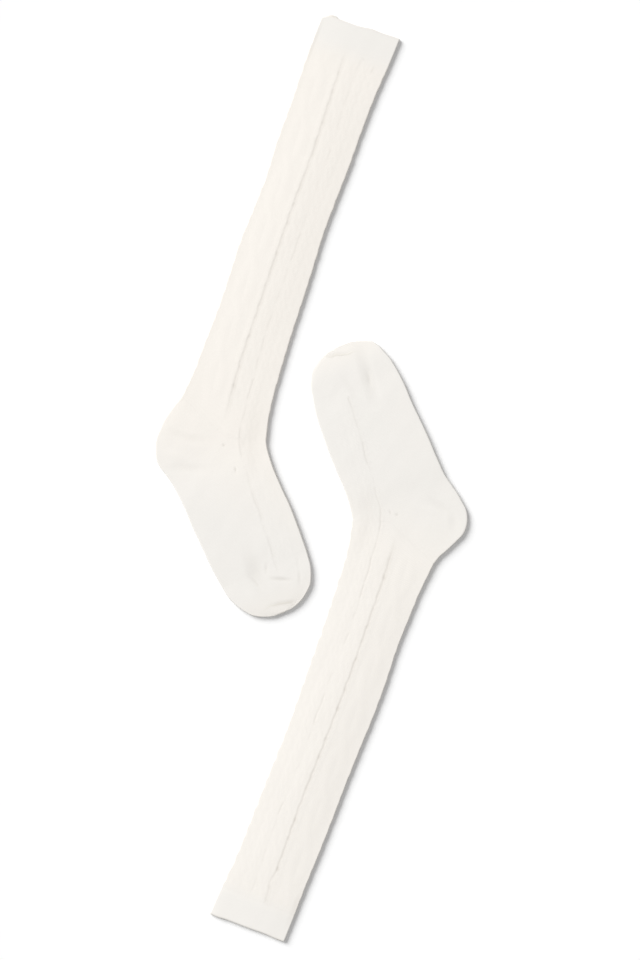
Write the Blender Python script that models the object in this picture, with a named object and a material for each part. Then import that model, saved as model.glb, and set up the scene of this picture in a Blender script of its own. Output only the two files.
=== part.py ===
"""A pair of over-the-knee socks in cable knit, laid flat side by side, toe beside toe.

A sock is a knitted tube that lies pressed flat, so each course of the knitting is a flat
ring: a lower layer on the table, a round fold at the back, an upper layer, and a round fold
at the front. Five pieces follow one another along that tube: the doubled welt at the top,
the leg, the heel that turns the corner, the foot, and the closed toe with its seam. Each is
a wall of cloth with an inner face. Sizes are in millimetres and turn to metres in a mesh.
"""

import math
from collections import namedtuple

import bmesh
import bpy
import numpy as np

MM = 0.001

# The cloth
WALL = 1.7
WELT_WALL = 2.3
SEAM_GAP = 0.32
CROWN = 0.5
SHARP_ANGLE = 50.0

# The leg, with its depth measured down from the welt's upper edge
WELT_DEPTH = 28.0
HEEL_TURN_LENGTH = 62.0
COURSE_TILT = 6.5
RIDGE_SHARE = 0.44
HEEL_SHARE = 0.602
LEAN_FROM = 300.0
LEAN_LENGTH = 140.0

# The groove that runs down the leg and along the foot, with the share it takes to fade
TROUGH_HALF_WIDTH = 3.0
LEG_TROUGH = 0.8
LEG_TROUGH_FADE = 0.04
FOOT_TROUGH = 0.4
FOOT_TROUGH_FADE = 0.1

# The heel, a wedge of courses that fan about its apex on the ankle
APEX_ACROSS = 14.0
APEX_BELOW_CREASE = 12.0
HEEL_TIP_RADIUS = 1.5
HEEL_HEIGHT = 6.4

# The foot and the toe, with distances measured back from the toe's tip
FIRST_FOOT_COURSE = 186.0
STRAIGHT_FROM_SHARE = 0.4
TOE_CAP = 50.0
TOE_ROUND = 40.0
TOE_TAPER = 1.1
TOE_HEIGHT = 6.2

# The toe seam, a linked ridge that lies on the upper layer
SEAM_BACK = -30.0
SEAM_FRONT = 18.0
SEAM_BACK_FROM_TOE = 16.8
SEAM_FRONT_FROM_TOE = 6.2
SEAM_HALF_WIDTH = 1.2
SEAM_THICKNESS = 0.9
SEAM_EDGE_SWELL = 0.4
SEAM_STEPS = 13

# Half the flat width behind and in front of the leg's axis, and the height of the flat tube
LegSection = namedtuple("LegSection", "depth back front height")
LEG = [
    LegSection(0, 42.0, 43.9, 6.0),
    LegSection(32, 42.8, 42.4, 5.4),
    LegSection(62, 43.2, 40.2, 4.8),
    LegSection(107, 42.8, 38.9, 4.8),
    LegSection(147, 42.7, 39.2, 4.8),
    LegSection(192, 41.7, 38.7, 4.8),
    LegSection(227, 42.6, 37.8, 4.8),
    LegSection(267, 43.1, 39.4, 4.8),
    LegSection(307, 42.5, 40.9, 4.8),
    LegSection(347, 41.9, 42.0, 4.9),
    LegSection(387, 43.3, 43.8, 5.1),
    LegSection(422, 44.5, 46.2, 5.6),
    LegSection(442, 46.7, 49.5, 6.0),
    LegSection(464, 53.0, 55.0, 6.4),
]

# The heel's outline as a reach from the apex, by the turn from straight ahead of the shin
HeelSection = namedtuple("HeelSection", "turn reach_a reach_b")
HEEL = [
    HeelSection(158, 67.0, 65.5),
    HeelSection(166, 67.0, 64.8),
    HeelSection(175, 68.8, 68.0),
    HeelSection(184, 70.8, 73.2),
    HeelSection(192, 73.2, 79.5),
    HeelSection(200, 77.0, 82.6),
    HeelSection(209, 78.8, 83.0),
    HeelSection(218, 80.2, 80.2),
    HeelSection(230, 79.2, 77.8),
]

# Half the foot's width on the sole's side and the instep's, and where its groove lies
FootSection = namedtuple("FootSection", "from_toe sole instep groove height")
FOOT = [
    FootSection(50, 49.3, 49.3, 16.3, 6.2),
    FootSection(70, 51.2, 51.0, 18.0, 5.9),
    FootSection(100, 52.2, 52.4, 20.4, 5.6),
    FootSection(130, 53.8, 52.2, 22.8, 5.6),
    FootSection(160, 54.2, 52.6, 24.6, 5.9),
    FootSection(175, 55.8, 54.6, 23.5, 6.2),
    FootSection(190, 59.8, 57.6, 20.0, 6.4),
]

# How each sock lies: where the middle of its upper edge is, its turn, and its own shape
Sock = namedtuple("Sock", "name place turn leg_length lean foot_turn toe_tip toe_skew reach")
SOCKS = [
    Sock("sock_a", (44.0, 498.5), -19.73, 463.8, 0.0, 136.97, (136.7, -634.7), 0.8, "reach_a"),
    Sock("sock_b", (-79.4, -489.5), 158.58, 458.2, 2.5, 137.35, (139.7, -630.2), 2.2, "reach_b"),
]

# Where the courses lie that carry points, as shares of each piece's length
WELT_COURSES = np.linspace(0, 1, 3)
LEG_COURSES = np.concatenate([np.linspace(0, 0.84, 11), np.linspace(0.88, 1, 5)])
HEEL_COURSES = np.linspace(0, 1, 9)
FOOT_COURSES = np.array([0, 0.06, 0.13, 0.22, 0.34, 0.5, 0.67, 0.84, 1])
TOE_ANGLES = np.array([90, 75, 60, 45, 32, 20, 10])

# Where the points of half a course lie: out along the upper layer, round the fold, and back
UPPER_SHARES = np.array([0, 0.2, 0.47, 0.74, 1])
FOLD_ANGLES = np.radians([45, 0, -45])
LOWER_SHARES = np.array([1, 0.5, 0])

Course = namedtuple("Course", "back middle front level half_height trough")

Finish = namedtuple("Finish", "colour roughness")
WELT_FINISH = Finish((0.90, 0.87, 0.82), 0.85)
CABLE_FINISH = Finish((0.91, 0.88, 0.82), 0.90)
PLAIN_FINISH = Finish((0.90, 0.86, 0.81), 0.85)
SEAM_FINISH = Finish((0.87, 0.83, 0.76), 0.80)


def curve(table, column, at):
    """Reads one column of a table between its rows, along a smooth cubic curve."""
    place = np.array([row[0] for row in table], float)
    value = np.array([getattr(row, column) for row in table], float)
    slope = np.gradient(value, place)
    row = int(np.clip(np.searchsorted(place, at) - 1, 0, len(place) - 2))
    span = place[row + 1] - place[row]
    t = min(max((at - place[row]) / span, 0.0), 1.0)
    from_left = (1 + 2 * t) * (1 - t) ** 2 * value[row] + t * (1 - t) ** 2 * span * slope[row]
    from_right = t * t * (3 - 2 * t) * value[row + 1] - t * t * (1 - t) * span * slope[row + 1]
    return from_left + from_right


def ease(share):
    """Rises from 0 to 1 with level ends."""
    share = min(max(share, 0.0), 1.0)
    return share * share * (3 - 2 * share)


def unit(degrees):
    """The direction at this turn from +X."""
    return np.array([math.cos(math.radians(degrees)), math.sin(math.radians(degrees))])


# The places that the pieces share


def apex(sock):
    """The point on the ankle that the heel's courses fan about."""
    return np.array([APEX_ACROSS + sock.lean, -sock.leg_length - APEX_BELOW_CREASE])


def heel_edge(sock, turn):
    """A point of the heel's outline."""
    return apex(sock) + curve(HEEL, sock.reach, turn) * unit(turn)


def leg_edge(sock, depth, column, side):
    """A point of the leg's outline, side -1 behind and +1 in front."""
    table_depth = depth * LEG[-1].depth / sock.leg_length
    lean = sock.lean * ease((depth - LEAN_FROM) / LEAN_LENGTH)
    return np.array([side * curve(LEG, column, table_depth) + lean, -depth])


def along_foot(sock):
    """The direction from the ankle to the toe, and the one from the sole to the instep."""
    turn = math.radians(sock.foot_turn)
    toeward = np.array([math.sin(turn), math.cos(turn)])
    instepward = np.array([-math.cos(turn), math.sin(turn)])
    return toeward, instepward


def foot_point(sock, from_toe, side):
    """A point of the foot, from its distance to the toe's tip and to the foot's centre line."""
    toeward, instepward = along_foot(sock)
    return np.array(sock.toe_tip) - from_toe * toeward + side * instepward


def foot_place(sock, point):
    """The distances that foot_point turns into this point."""
    toeward, instepward = along_foot(sock)
    offset = point - np.array(sock.toe_tip)
    return -offset @ toeward, offset @ instepward


# The courses of each piece


def leg_course(sock, share):
    """A course of the leg: level at the welt, and bent round the heel's apex at the ankle."""
    length = sock.leg_length - COURSE_TILT - WELT_DEPTH
    depth = WELT_DEPTH + share * length
    bend = ease(1 - (1 - share) * length / HEEL_TURN_LENGTH)
    back = leg_edge(sock, depth - COURSE_TILT * bend, "back", -1)
    front = leg_edge(sock, depth + COURSE_TILT * bend, "front", 1)
    back = back + bend * bend * (heel_edge(sock, HEEL[0].turn) - back)
    ridge = RIDGE_SHARE + (HEEL_SHARE - RIDGE_SHARE) * bend
    middle = back + ridge * (front - back)
    middle = middle + bend * bend * (apex(sock) - middle)
    height = curve(LEG, "height", depth)
    trough = LEG_TROUGH * ease(share / LEG_TROUGH_FADE) * ease((1 - share) / LEG_TROUGH_FADE)
    return Course(back, middle, front, height / 2, height / 2, trough)


def welt_course(sock, share):
    """A course of the welt, level all round."""
    depth = share * WELT_DEPTH
    back = leg_edge(sock, depth, "back", -1)
    front = leg_edge(sock, depth, "front", 1)
    middle = back + RIDGE_SHARE * (front - back)
    height = curve(LEG, "height", depth)
    return Course(back, middle, front, height / 2, height / 2, 0.0)


def foot_course(sock, share):
    """A course of the foot: bent round the ankle at first, then straight across."""
    from_toe = FIRST_FOOT_COURSE + share * (TOE_CAP - FIRST_FOOT_COURSE)
    left = max(1 - share / STRAIGHT_FROM_SHARE, 0.0) ** 2
    first_sole = foot_place(sock, heel_edge(sock, HEEL[-1].turn))
    first_instep = foot_place(sock, leg_edge(sock, sock.leg_length, "front", 1))
    first_groove = foot_place(sock, apex(sock))
    sole_at = from_toe + left * (first_sole[0] - FIRST_FOOT_COURSE)
    instep_at = from_toe + left * (first_instep[0] - FIRST_FOOT_COURSE)
    groove_at = from_toe + left * (first_groove[0] - FIRST_FOOT_COURSE)
    sole = curve(FOOT, "sole", sole_at)
    sole = sole + left * (-first_sole[1] - curve(FOOT, "sole", first_sole[0]))
    instep = curve(FOOT, "instep", instep_at)
    instep = instep + left * (first_instep[1] - curve(FOOT, "instep", first_instep[0]))
    groove = curve(FOOT, "groove", from_toe)
    groove = groove + left * (first_groove[1] - curve(FOOT, "groove", FIRST_FOOT_COURSE))
    height = curve(FOOT, "height", from_toe)
    trough = FOOT_TROUGH * ease(share / FOOT_TROUGH_FADE) * ease((1 - share) / FOOT_TROUGH_FADE)
    return Course(
        foot_point(sock, sole_at, -sole),
        foot_point(sock, groove_at, groove),
        foot_point(sock, instep_at, instep),
        height / 2,
        height / 2,
        trough,
    )


def toe_course(sock, from_toe, inset):
    """A straight course of the toe, whose outline is half an ellipse beyond a short taper."""
    widest = curve(FOOT, "sole", TOE_CAP)
    round_width = widest - TOE_TAPER - inset
    length = TOE_ROUND - inset
    beyond = min((from_toe - inset) / length, 1.0)
    half = round_width * math.sqrt(1 - (1 - beyond) ** 2)
    taper = max(from_toe - TOE_ROUND, 0) / (TOE_CAP - TOE_ROUND)
    half = half + (widest - inset - round_width) * taper
    groove = FOOT[0].groove * half / (widest - inset)
    full = TOE_HEIGHT / 2 - inset
    rise = min((from_toe - inset) / full, 1.0)
    half_height = full * math.sqrt(1 - (1 - rise) ** 2)
    skew = sock.toe_skew * max(1 - from_toe / TOE_CAP, 0.0) ** 2
    back = foot_point(sock, from_toe, -half - skew)
    middle = foot_point(sock, from_toe, groove - skew)
    front = foot_point(sock, from_toe, half - skew)
    return Course(back, middle, front, TOE_HEIGHT / 2, half_height, 0.0)


# From courses to walls of cloth


def inner(course, wall):
    """The same course on the inner face of a wall."""
    back_way = (course.middle - course.back) / np.linalg.norm(course.middle - course.back)
    front_way = (course.middle - course.front) / np.linalg.norm(course.middle - course.front)
    return course._replace(
        back=course.back + wall * back_way,
        front=course.front + wall * front_way,
        half_height=course.half_height - wall,
    )


def moved(course, way):
    """The same course, moved in plan."""
    return course._replace(
        back=course.back + way, middle=course.middle + way, front=course.front + way
    )


def upper_point(course, edge, out):
    """A point of the upper layer, this far out from the middle towards an edge."""
    reach = np.linalg.norm(edge - course.middle)
    end = reach - course.half_height
    crown = CROWN * (1 - (out / end) ** 2)
    plan = course.middle + (edge - course.middle) * out / reach
    return [*plan, course.level + course.half_height + crown]


def half_course(course, edge):
    """Points from the middle of the upper layer, out round one fold, to the lower middle."""
    reach = np.linalg.norm(edge - course.middle)
    end = reach - course.half_height
    shoulder = min(TROUGH_HALF_WIDTH, end / 5)
    way = (edge - course.middle) / reach
    points = [upper_point(course, edge, 0.0)]
    points[0][2] -= course.trough
    points += [upper_point(course, edge, out) for out in shoulder + UPPER_SHARES * (end - shoulder)]
    for angle in FOLD_ANGLES:
        out = end + (reach - end) * math.cos(angle)
        rise = course.half_height * math.sin(angle)
        points.append([*(course.middle + out * way), course.level + rise])
    for share in LOWER_SHARES:
        plan = course.middle + share * end * way
        points.append([*plan, course.level - course.half_height])
    return np.array(points)


def ring(course):
    """All the points of a course, starting from the upper middle and going over the back."""
    front = half_course(course, course.front)[::-1]
    return np.concatenate([half_course(course, course.back), front[1:-1]])


def wall_mesh(name, outer, inner_face, closed_round, poles=None):
    """Joins an outer and an inner grid of points into one closed wall of cloth."""
    rows, stations = outer.shape[:2]
    mesh = bmesh.new()
    faces = [
        [[mesh.verts.new(point * MM) for point in row] for row in grid]
        for grid in (outer, inner_face)
    ]
    steps = range(stations) if closed_round else range(stations - 1)
    for grid in faces:
        for row in range(rows - 1):
            for k in steps:
                n = (k + 1) % stations
                mesh.faces.new((grid[row][k], grid[row][n], grid[row + 1][n], grid[row + 1][k]))
    open_rows = (0,) if poles is not None else (0, -1)
    for row in open_rows:
        for k in steps:
            n = (k + 1) % stations
            mesh.faces.new((faces[0][row][k], faces[0][row][n], faces[1][row][n], faces[1][row][k]))
    if not closed_round:
        for k in (0, -1):
            for row in range(rows - 1):
                corner = faces[0][row][k], faces[0][row + 1][k]
                mesh.faces.new((*corner, faces[1][row + 1][k], faces[1][row][k]))
    if poles is not None:
        for grid, pole in zip(faces, poles):
            tip = mesh.verts.new(pole * MM)
            for k in steps:
                mesh.faces.new((grid[-1][k], grid[-1][(k + 1) % stations], tip))
    return finished(name, mesh)


def finished(name, mesh):
    """Turns a closed bmesh into an object, smooth but for its sharp rims."""
    bmesh.ops.recalc_face_normals(mesh, faces=mesh.faces)
    data = bpy.data.meshes.new(name)
    mesh.to_mesh(data)
    mesh.free()
    data.shade_smooth()
    data.set_sharp_from_angle(angle=math.radians(SHARP_ANGLE))
    piece = bpy.data.objects.new(name, data)
    bpy.context.collection.objects.link(piece)
    return piece


def tube(name, courses, wall):
    """A piece of the flat tube, open at both ends."""
    outer = np.array([ring(course) for course in courses])
    inner_face = np.array([ring(inner(course, wall)) for course in courses])
    return wall_mesh(name, outer, inner_face, closed_round=True)


# The pieces


def make_welt(sock):
    """The doubled band at the top, a thicker wall than the rest."""
    courses = [welt_course(sock, share) for share in WELT_COURSES]
    courses[-1] = moved(courses[-1], np.array([0, SEAM_GAP / 2]))
    return tube(sock.name + "_welt", courses, WELT_WALL)


def make_leg(sock):
    """The long leg, from the welt to the course that bends round the heel."""
    courses = [leg_course(sock, share) for share in LEG_COURSES]
    courses[0] = moved(courses[0], np.array([0, -SEAM_GAP / 2]))
    courses[-1] = moved(courses[-1], np.array([0, SEAM_GAP / 2]))
    return tube(sock.name + "_leg", courses, WALL)


def make_heel(sock):
    """The wedge that turns the heel: it wraps the back fold and narrows to the apex."""
    first = HEEL[0].turn
    last = HEEL[-1].turn
    bisector = unit((first + last) / 2)
    setback = SEAM_GAP / 2 / math.sin(math.radians((last - first) / 2))
    tip = apex(sock) + setback * bisector
    outer = []
    inner_face = []
    for share in HEEL_COURSES:
        turn = first + share * (last - first)
        edge = tip + (curve(HEEL, sock.reach, turn) - setback) * unit(turn)
        middle = tip + HEEL_TIP_RADIUS * unit(turn)
        beyond = tip - unit(turn)
        course = Course(edge, middle, beyond, HEEL_HEIGHT / 2, HEEL_HEIGHT / 2, 0.0)
        outer.append(half_course(course, course.back))
        lined = inner(course, WALL)
        inner_face.append(half_course(lined, lined.back))
    return wall_mesh(
        sock.name + "_heel", np.array(outer), np.array(inner_face), closed_round=False
    )


def make_foot(sock):
    """The foot, from the course round the ankle to the toe cap."""
    toeward, _ = along_foot(sock)
    courses = [foot_course(sock, share) for share in FOOT_COURSES]
    courses[0] = moved(courses[0], toeward * SEAM_GAP / 2)
    courses[-1] = moved(courses[-1], -toeward * SEAM_GAP / 2)
    return tube(sock.name + "_foot", courses, WALL)


def make_toe(sock):
    """The toe cap, a rounded end that closes the tube."""
    round_part = TOE_ROUND * (1 - np.cos(np.radians(TOE_ANGLES)))
    distances = np.concatenate([[TOE_CAP - SEAM_GAP / 2, (TOE_CAP + TOE_ROUND) / 2], round_part])
    outer = np.array([ring(toe_course(sock, d, 0.0)) for d in distances])
    lined = WALL + distances * (TOE_CAP - WALL) / TOE_CAP
    lined[0] = distances[0]
    inner_face = np.array([ring(toe_course(sock, d, WALL)) for d in lined])
    poles = [
        np.array([*foot_point(sock, d, -sock.toe_skew), TOE_HEIGHT / 2]) for d in (0.0, WALL)
    ]
    return wall_mesh(sock.name + "_toe", outer, inner_face, closed_round=True, poles=poles)


def make_toe_seam(sock):
    """The linked seam: a low ridge made from the toe's own upper points, moved out."""
    rings = []
    for share in np.linspace(0, 1, SEAM_STEPS):
        side = SEAM_BACK + share * (SEAM_FRONT - SEAM_BACK)
        line = SEAM_BACK_FROM_TOE + share * (SEAM_FRONT_FROM_TOE - SEAM_BACK_FROM_TOE)
        low = []
        high = []
        for offset, swell in ((-1, SEAM_EDGE_SWELL), (0, 1.0), (1, SEAM_EDGE_SWELL)):
            course = toe_course(sock, line + offset * SEAM_HALF_WIDTH, 0.0)
            groove = foot_place(sock, course.middle)[1]
            edge = course.front if side > groove else course.back
            point = np.array(upper_point(course, edge, abs(side - groove)))
            low.append(point + (0, 0, SEAM_GAP))
            high.append(point + (0, 0, SEAM_GAP + SEAM_THICKNESS * swell))
        rings.append(low + high[::-1])
    mesh = bmesh.new()
    grid = [[mesh.verts.new(point * MM) for point in row] for row in rings]
    count = len(grid[0])
    for here, after in zip(grid, grid[1:]):
        for k in range(count):
            n = (k + 1) % count
            mesh.faces.new((here[k], here[n], after[n], after[k]))
    mesh.faces.new(grid[0])
    mesh.faces.new(grid[-1])
    return finished(sock.name + "_toe_seam", mesh)


def give_finish(piece, name, finish):
    """Gives a piece its cloth."""
    cloth = bpy.data.materials.get(name) or bpy.data.materials.new(name)
    cloth.use_nodes = True
    shader = cloth.node_tree.nodes["Principled BSDF"]
    shader.inputs["Base Color"].default_value = (*finish.colour, 1)
    shader.inputs["Roughness"].default_value = finish.roughness
    shader.inputs["Metallic"].default_value = 0.0
    piece.data.materials.append(cloth)


def make_sock(sock):
    """Makes the six pieces of one sock and lays them in place under one empty."""
    lay = bpy.data.objects.new(sock.name + "_lay", None)
    bpy.context.collection.objects.link(lay)
    lay.location = (*(MM * value for value in sock.place), 0)
    lay.rotation_euler = (0, 0, math.radians(sock.turn))
    makers = [
        (make_welt, "doubled welt", WELT_FINISH),
        (make_leg, "cable knit", CABLE_FINISH),
        (make_heel, "plain knit", PLAIN_FINISH),
        (make_foot, "cable knit", CABLE_FINISH),
        (make_toe, "plain knit", PLAIN_FINISH),
        (make_toe_seam, "linking yarn", SEAM_FINISH),
    ]
    for make, name, finish in makers:
        piece = make(sock)
        piece.parent = lay
        give_finish(piece, name, finish)
    return lay


def centre(lays):
    """Moves both socks together so that the pair's box is centred over the origin."""
    bpy.context.view_layer.update()
    corners = np.array(
        [
            piece.matrix_world @ vertex.co
            for lay in lays
            for piece in lay.children
            for vertex in piece.data.vertices
        ]
    )
    middle = (corners.min(axis=0) + corners.max(axis=0)) / 2
    for lay in lays:
        lay.location.x -= middle[0]
        lay.location.y -= middle[1]
    bpy.context.view_layer.update()


def main():
    """Builds the pair."""
    for thing in list(bpy.data.objects):
        bpy.data.objects.remove(thing)
    centre([make_sock(sock) for sock in SOCKS])


main()
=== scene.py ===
# %% [markdown]
# # A pair of over-the-knee socks, laid flat
# A long sock is one knitted tube: a doubled welt at the top, a cabled leg, a heel that turns the
# corner, a foot, and a toe cap that a linked seam closes. Laid on a table the tube presses flat, so
# each course of stitches becomes a flat loop: an upper layer, a round fold, a lower layer and
# another fold. Every piece here is a grid that goes round that loop one way and along the tube the
# other way, with the relief of the cables pushed into it.

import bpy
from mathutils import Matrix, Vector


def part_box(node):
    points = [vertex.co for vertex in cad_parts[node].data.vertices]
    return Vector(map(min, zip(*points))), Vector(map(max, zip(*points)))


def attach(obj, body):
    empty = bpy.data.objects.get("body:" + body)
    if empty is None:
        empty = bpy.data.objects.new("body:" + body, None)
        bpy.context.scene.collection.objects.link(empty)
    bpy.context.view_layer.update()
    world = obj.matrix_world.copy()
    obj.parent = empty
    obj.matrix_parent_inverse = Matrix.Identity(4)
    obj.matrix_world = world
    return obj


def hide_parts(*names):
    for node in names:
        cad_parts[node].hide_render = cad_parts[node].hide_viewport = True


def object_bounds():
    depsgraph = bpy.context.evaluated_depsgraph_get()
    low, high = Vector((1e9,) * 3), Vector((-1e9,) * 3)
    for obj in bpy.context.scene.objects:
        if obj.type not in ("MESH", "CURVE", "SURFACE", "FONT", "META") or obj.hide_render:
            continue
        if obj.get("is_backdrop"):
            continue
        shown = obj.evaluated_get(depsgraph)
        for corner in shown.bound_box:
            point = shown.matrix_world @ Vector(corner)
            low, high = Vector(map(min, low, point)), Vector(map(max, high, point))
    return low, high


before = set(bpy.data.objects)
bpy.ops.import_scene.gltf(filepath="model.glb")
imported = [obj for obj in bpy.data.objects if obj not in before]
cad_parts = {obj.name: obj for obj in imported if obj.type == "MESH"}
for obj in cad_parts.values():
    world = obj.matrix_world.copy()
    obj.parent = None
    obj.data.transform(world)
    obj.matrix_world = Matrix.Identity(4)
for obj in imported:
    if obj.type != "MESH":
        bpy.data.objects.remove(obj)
print("solids in the frame:", len(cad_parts))

# %% Keep the frame's box, to compare with at the end
import math
from collections import namedtuple

import bmesh
import bpy
import numpy as np

solid_box = [list(corner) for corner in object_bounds()]
print("frame's box in metres:", [[round(v, 4) for v in corner] for corner in solid_box])

# %% [markdown]
# ## Reading a knitter's measurements
# A knitter takes a sock's width at a few depths and lets the cloth run smoothly between them. A
# table with named columns holds such measurements, and a cubic between two rows keeps the value
# and the slope at both, so that an outline has no corners. Sizes are in millimetres until a mesh
# is made, and a whole array is read at once.

# %% Curves through a table
MM = 0.001
MERGE_MM = 0.001


def read(table, along, column, at):
    """Between two rows: the cubic that keeps the value and the slope at both. A row's slope is
    the one between its neighbours."""
    stop = np.array(table[along], float)
    value = np.array(table[column], float)
    slope = np.gradient(value, stop)
    row = np.clip(np.searchsorted(stop, at) - 1, 0, len(stop) - 2)
    span = stop[row + 1] - stop[row]
    t = np.clip((at - stop[row]) / span, 0, 1)
    from_left = (1 + 2 * t) * (1 - t) ** 2 * value[row] + t * (1 - t) ** 2 * span * slope[row]
    from_right = t * t * (3 - 2 * t) * value[row + 1] - t * t * (1 - t) * span * slope[row + 1]
    return from_left + from_right


def ease(share):
    """3t^2 - 2t^3, which rises from 0 to 1 with level ends."""
    share = np.clip(share, 0, 1)
    return share * share * (3 - 2 * share)


def bell(distance, half_width):
    """(1 - (d/w)^2)^2, a smooth bump that is 1 in the middle and 0 from the half width on."""
    return np.clip(1 - (distance / half_width) ** 2, 0, None) ** 2


def uneven(along, period, start):
    """Three sines whose periods never meet, which swing between about -1 and 1 with no repeat."""
    turn = 2 * np.pi * along / period
    return (np.sin(turn + start) + 0.6 * np.sin(1.618 * turn + 2.1 * start)
            + 0.4 * np.sin(0.73 * turn + 0.7 * start)) / 1.7


print("a bump 2 mm from its middle:", round(float(bell(2.0, 5.0)), 3))

# %% [markdown]
# ## The outline
# The leg's half widths stand behind and in front of an axis that runs straight down from the
# middle of the welt. The heel's outline is a reach from a point on the ankle, because its courses
# fan about that point. The foot has its own centre line, measured back from the toe's tip. Two
# more tables say how far each sock strays from this common outline, since no two lie alike.

# %% The tables of the outline
LEG = {
    "depth": [0, 32, 62, 107, 147, 192, 227, 267, 307, 347, 387, 422, 442, 464],
    "back": [42.0, 42.8, 43.2, 42.8, 42.7, 41.7, 42.6, 43.1, 42.5, 41.9, 43.3, 44.5, 46.7, 53.0],
    "front": [43.9, 42.4, 40.2, 38.9, 39.2, 38.7, 37.8, 39.4, 40.9, 42.0, 43.8, 46.2, 49.5, 55.0],
    "height_a": [4.3, 4.5, 4.6, 4.6, 4.6, 4.6, 4.6, 4.6, 4.6, 4.6, 4.7, 4.8, 4.9, 5.0],
    "height_b": [4.5, 4.7, 4.8, 4.8, 4.8, 4.8, 4.8, 4.8, 4.8, 4.8, 4.8, 4.9, 5.0, 5.0],
}
HEEL = {
    "turn": [158, 166, 175, 184, 192, 200, 209, 218, 230],
    "sock_a": [66.4, 67.1, 68.4, 70.9, 73.1, 76.7, 78.6, 80.2, 77.4],
    "sock_b": [65.5, 65.5, 69.0, 74.2, 80.5, 83.5, 83.7, 80.6, 77.8],
}
FOOT = {
    "from_toe": [50, 70, 100, 130, 160, 175, 190],
    "sole": [49.3, 51.2, 52.2, 53.8, 54.2, 55.8, 59.8],
    "instep": [49.3, 51.0, 52.4, 52.2, 52.6, 54.6, 57.6],
    "ridge": [16.3, 18.0, 20.4, 22.8, 24.6, 23.5, 20.0],
    "height": [5.5, 5.8, 5.9, 5.9, 5.7, 5.3, 5.1],
}
LEG_STRAY = {
    "depth": [0, 32, 62, 107, 147, 192, 227, 267, 307, 347, 387, 422, 450],
    "back_a": [0.8, 0.9, 0.5, 0.0, 0.5, -0.4, -0.1, 1.0, 0.3, 0.2, 0.0, -0.6, -0.4],
    "front_a": [0.4, 0.4, 0.3, 0.5, 0.3, -0.3, 0.1, 0.4, 0.3, 0.3, 0.6, 0.9, 0.3],
    "back_b": [0.2, -0.2, -0.8, 0.3, 0.4, 1.0, 0.3, 0.6, 0.3, -0.8, -0.9, -0.4, 0.0],
    "front_b": [-0.9, -0.9, -0.8, 0.0, -0.2, 0.0, 0.8, 0.6, 0.5, 0.2, -0.5, -1.3, -1.5],
}
FOOT_STRAY = {
    "from_toe": [0, 3, 6, 10, 16, 24, 32, 40, 50, 65, 85, 105, 125, 145, 160, 172, 186],
    "sole_a": [0, -0.7, -1.0, -1.4, -2.2, -2.1, -1.7, -0.2, 0.3, 0.4, 0.6, 0.4, -0.1, -0.6, -0.1,
               0.1, -0.4],
    "instep_a": [0, 0.5, 0.6, 0.3, 0.5, -0.4, -0.5, 0.1, 0.4, 0.2, 0.1, 0.2, -0.1, -0.1, 0, -0.3, 0.3],
    "sole_b": [0, 0.6, 1.1, 2.2, 0.8, -1.2, -1.3, -0.9, -0.4, -0.4, -0.9, -0.1, 0.1, 0.5, 0.8, 0.4, 0],
    "instep_b": [0, 0.2, 0.4, 0.1, 0.2, -1.3, -1.8, -1.5, -0.6, 0.3, -0.1, -0.1, -0.1, -0.7, -1.2,
                 -1.5, -1.5],
}
widths = np.add(LEG["back"], LEG["front"])
print("flat width of the leg:", round(widths.min(), 1), "to", round(widths.max(), 1), "mm")

# %% [markdown]
# ## Two socks that are nearly twins
# Both socks share one pattern, so a sock is no more than a few numbers: its turn on the table, the
# length of its leg, how far the ankle leans, the line of its foot and how the toe is drawn out.

# %% How each sock lies
Sock = namedtuple("Sock", "name turn leg_length lean foot_turn toe_tip toe_skew toe_draw start")
SOCKS = [
    Sock("sock_a", -19.73, 463.8, 0.0, 136.97, (136.7, -634.7), 0.8, 0.1, 0.6),
    Sock("sock_b", 158.58, 458.2, 2.5, 137.35, (139.7, -630.2), 2.2, 1.2, 2.9),
]
WELT_DEPTH = 28.0
LEAN_FROM = 300.0
LEAN_LENGTH = 140.0
ANKLE_HEIGHT = 5.0
APEX_ACROSS = 14.0
APEX_BELOW_CREASE = 12.0
for sock in SOCKS:
    print(sock.name, "is turned by", sock.turn, "degrees")

# %% [markdown]
# A point of the leg is so far down from the top and so far to one side. A point of the heel is so
# far from the apex, at a turn. Each function takes a whole array, so an outline is one call.

# %% Points of the leg's and the heel's outline
def own(sock, column):
    """The name of the column that holds this sock's own numbers: column_a or column_b."""
    return column + sock.name[-2:]


def unit(degrees):
    """(cos, sin): the direction at this turn from +X."""
    turn = np.radians(degrees)
    return np.stack([np.cos(turn), np.sin(turn)], axis=-1)


def apex(sock):
    """The point on the ankle that the heel's courses fan about."""
    return np.array([APEX_ACROSS + sock.lean, -sock.leg_length - APEX_BELOW_CREASE])


def heel_edge(sock, turn):
    """The heel's outline: the apex plus the reach at this turn."""
    return apex(sock) + read(HEEL, "turn", sock.name, turn)[..., None] * unit(turn)


def leg_edge(sock, depth, column, side):
    """The leg's outline: the half width on one side, carried over by the ankle's lean."""
    table_depth = depth * LEG["depth"][-1] / sock.leg_length
    lean = sock.lean * ease((depth - LEAN_FROM) / LEAN_LENGTH)
    return np.stack([side * read(LEG, "depth", column, table_depth) + lean, -depth], axis=-1)


for sock in SOCKS:
    reach = float(read(HEEL, "turn", sock.name, 209))
    print(sock.name, "heel's reach at its tip:", round(reach, 1), "mm")

# %% [markdown]
# The foot leans away from the leg, so it has two directions of its own, one to the toe and one to
# the instep. One function turns distances along them into points, and another turns points back
# into distances, which the toe's seam needs later.

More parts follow.
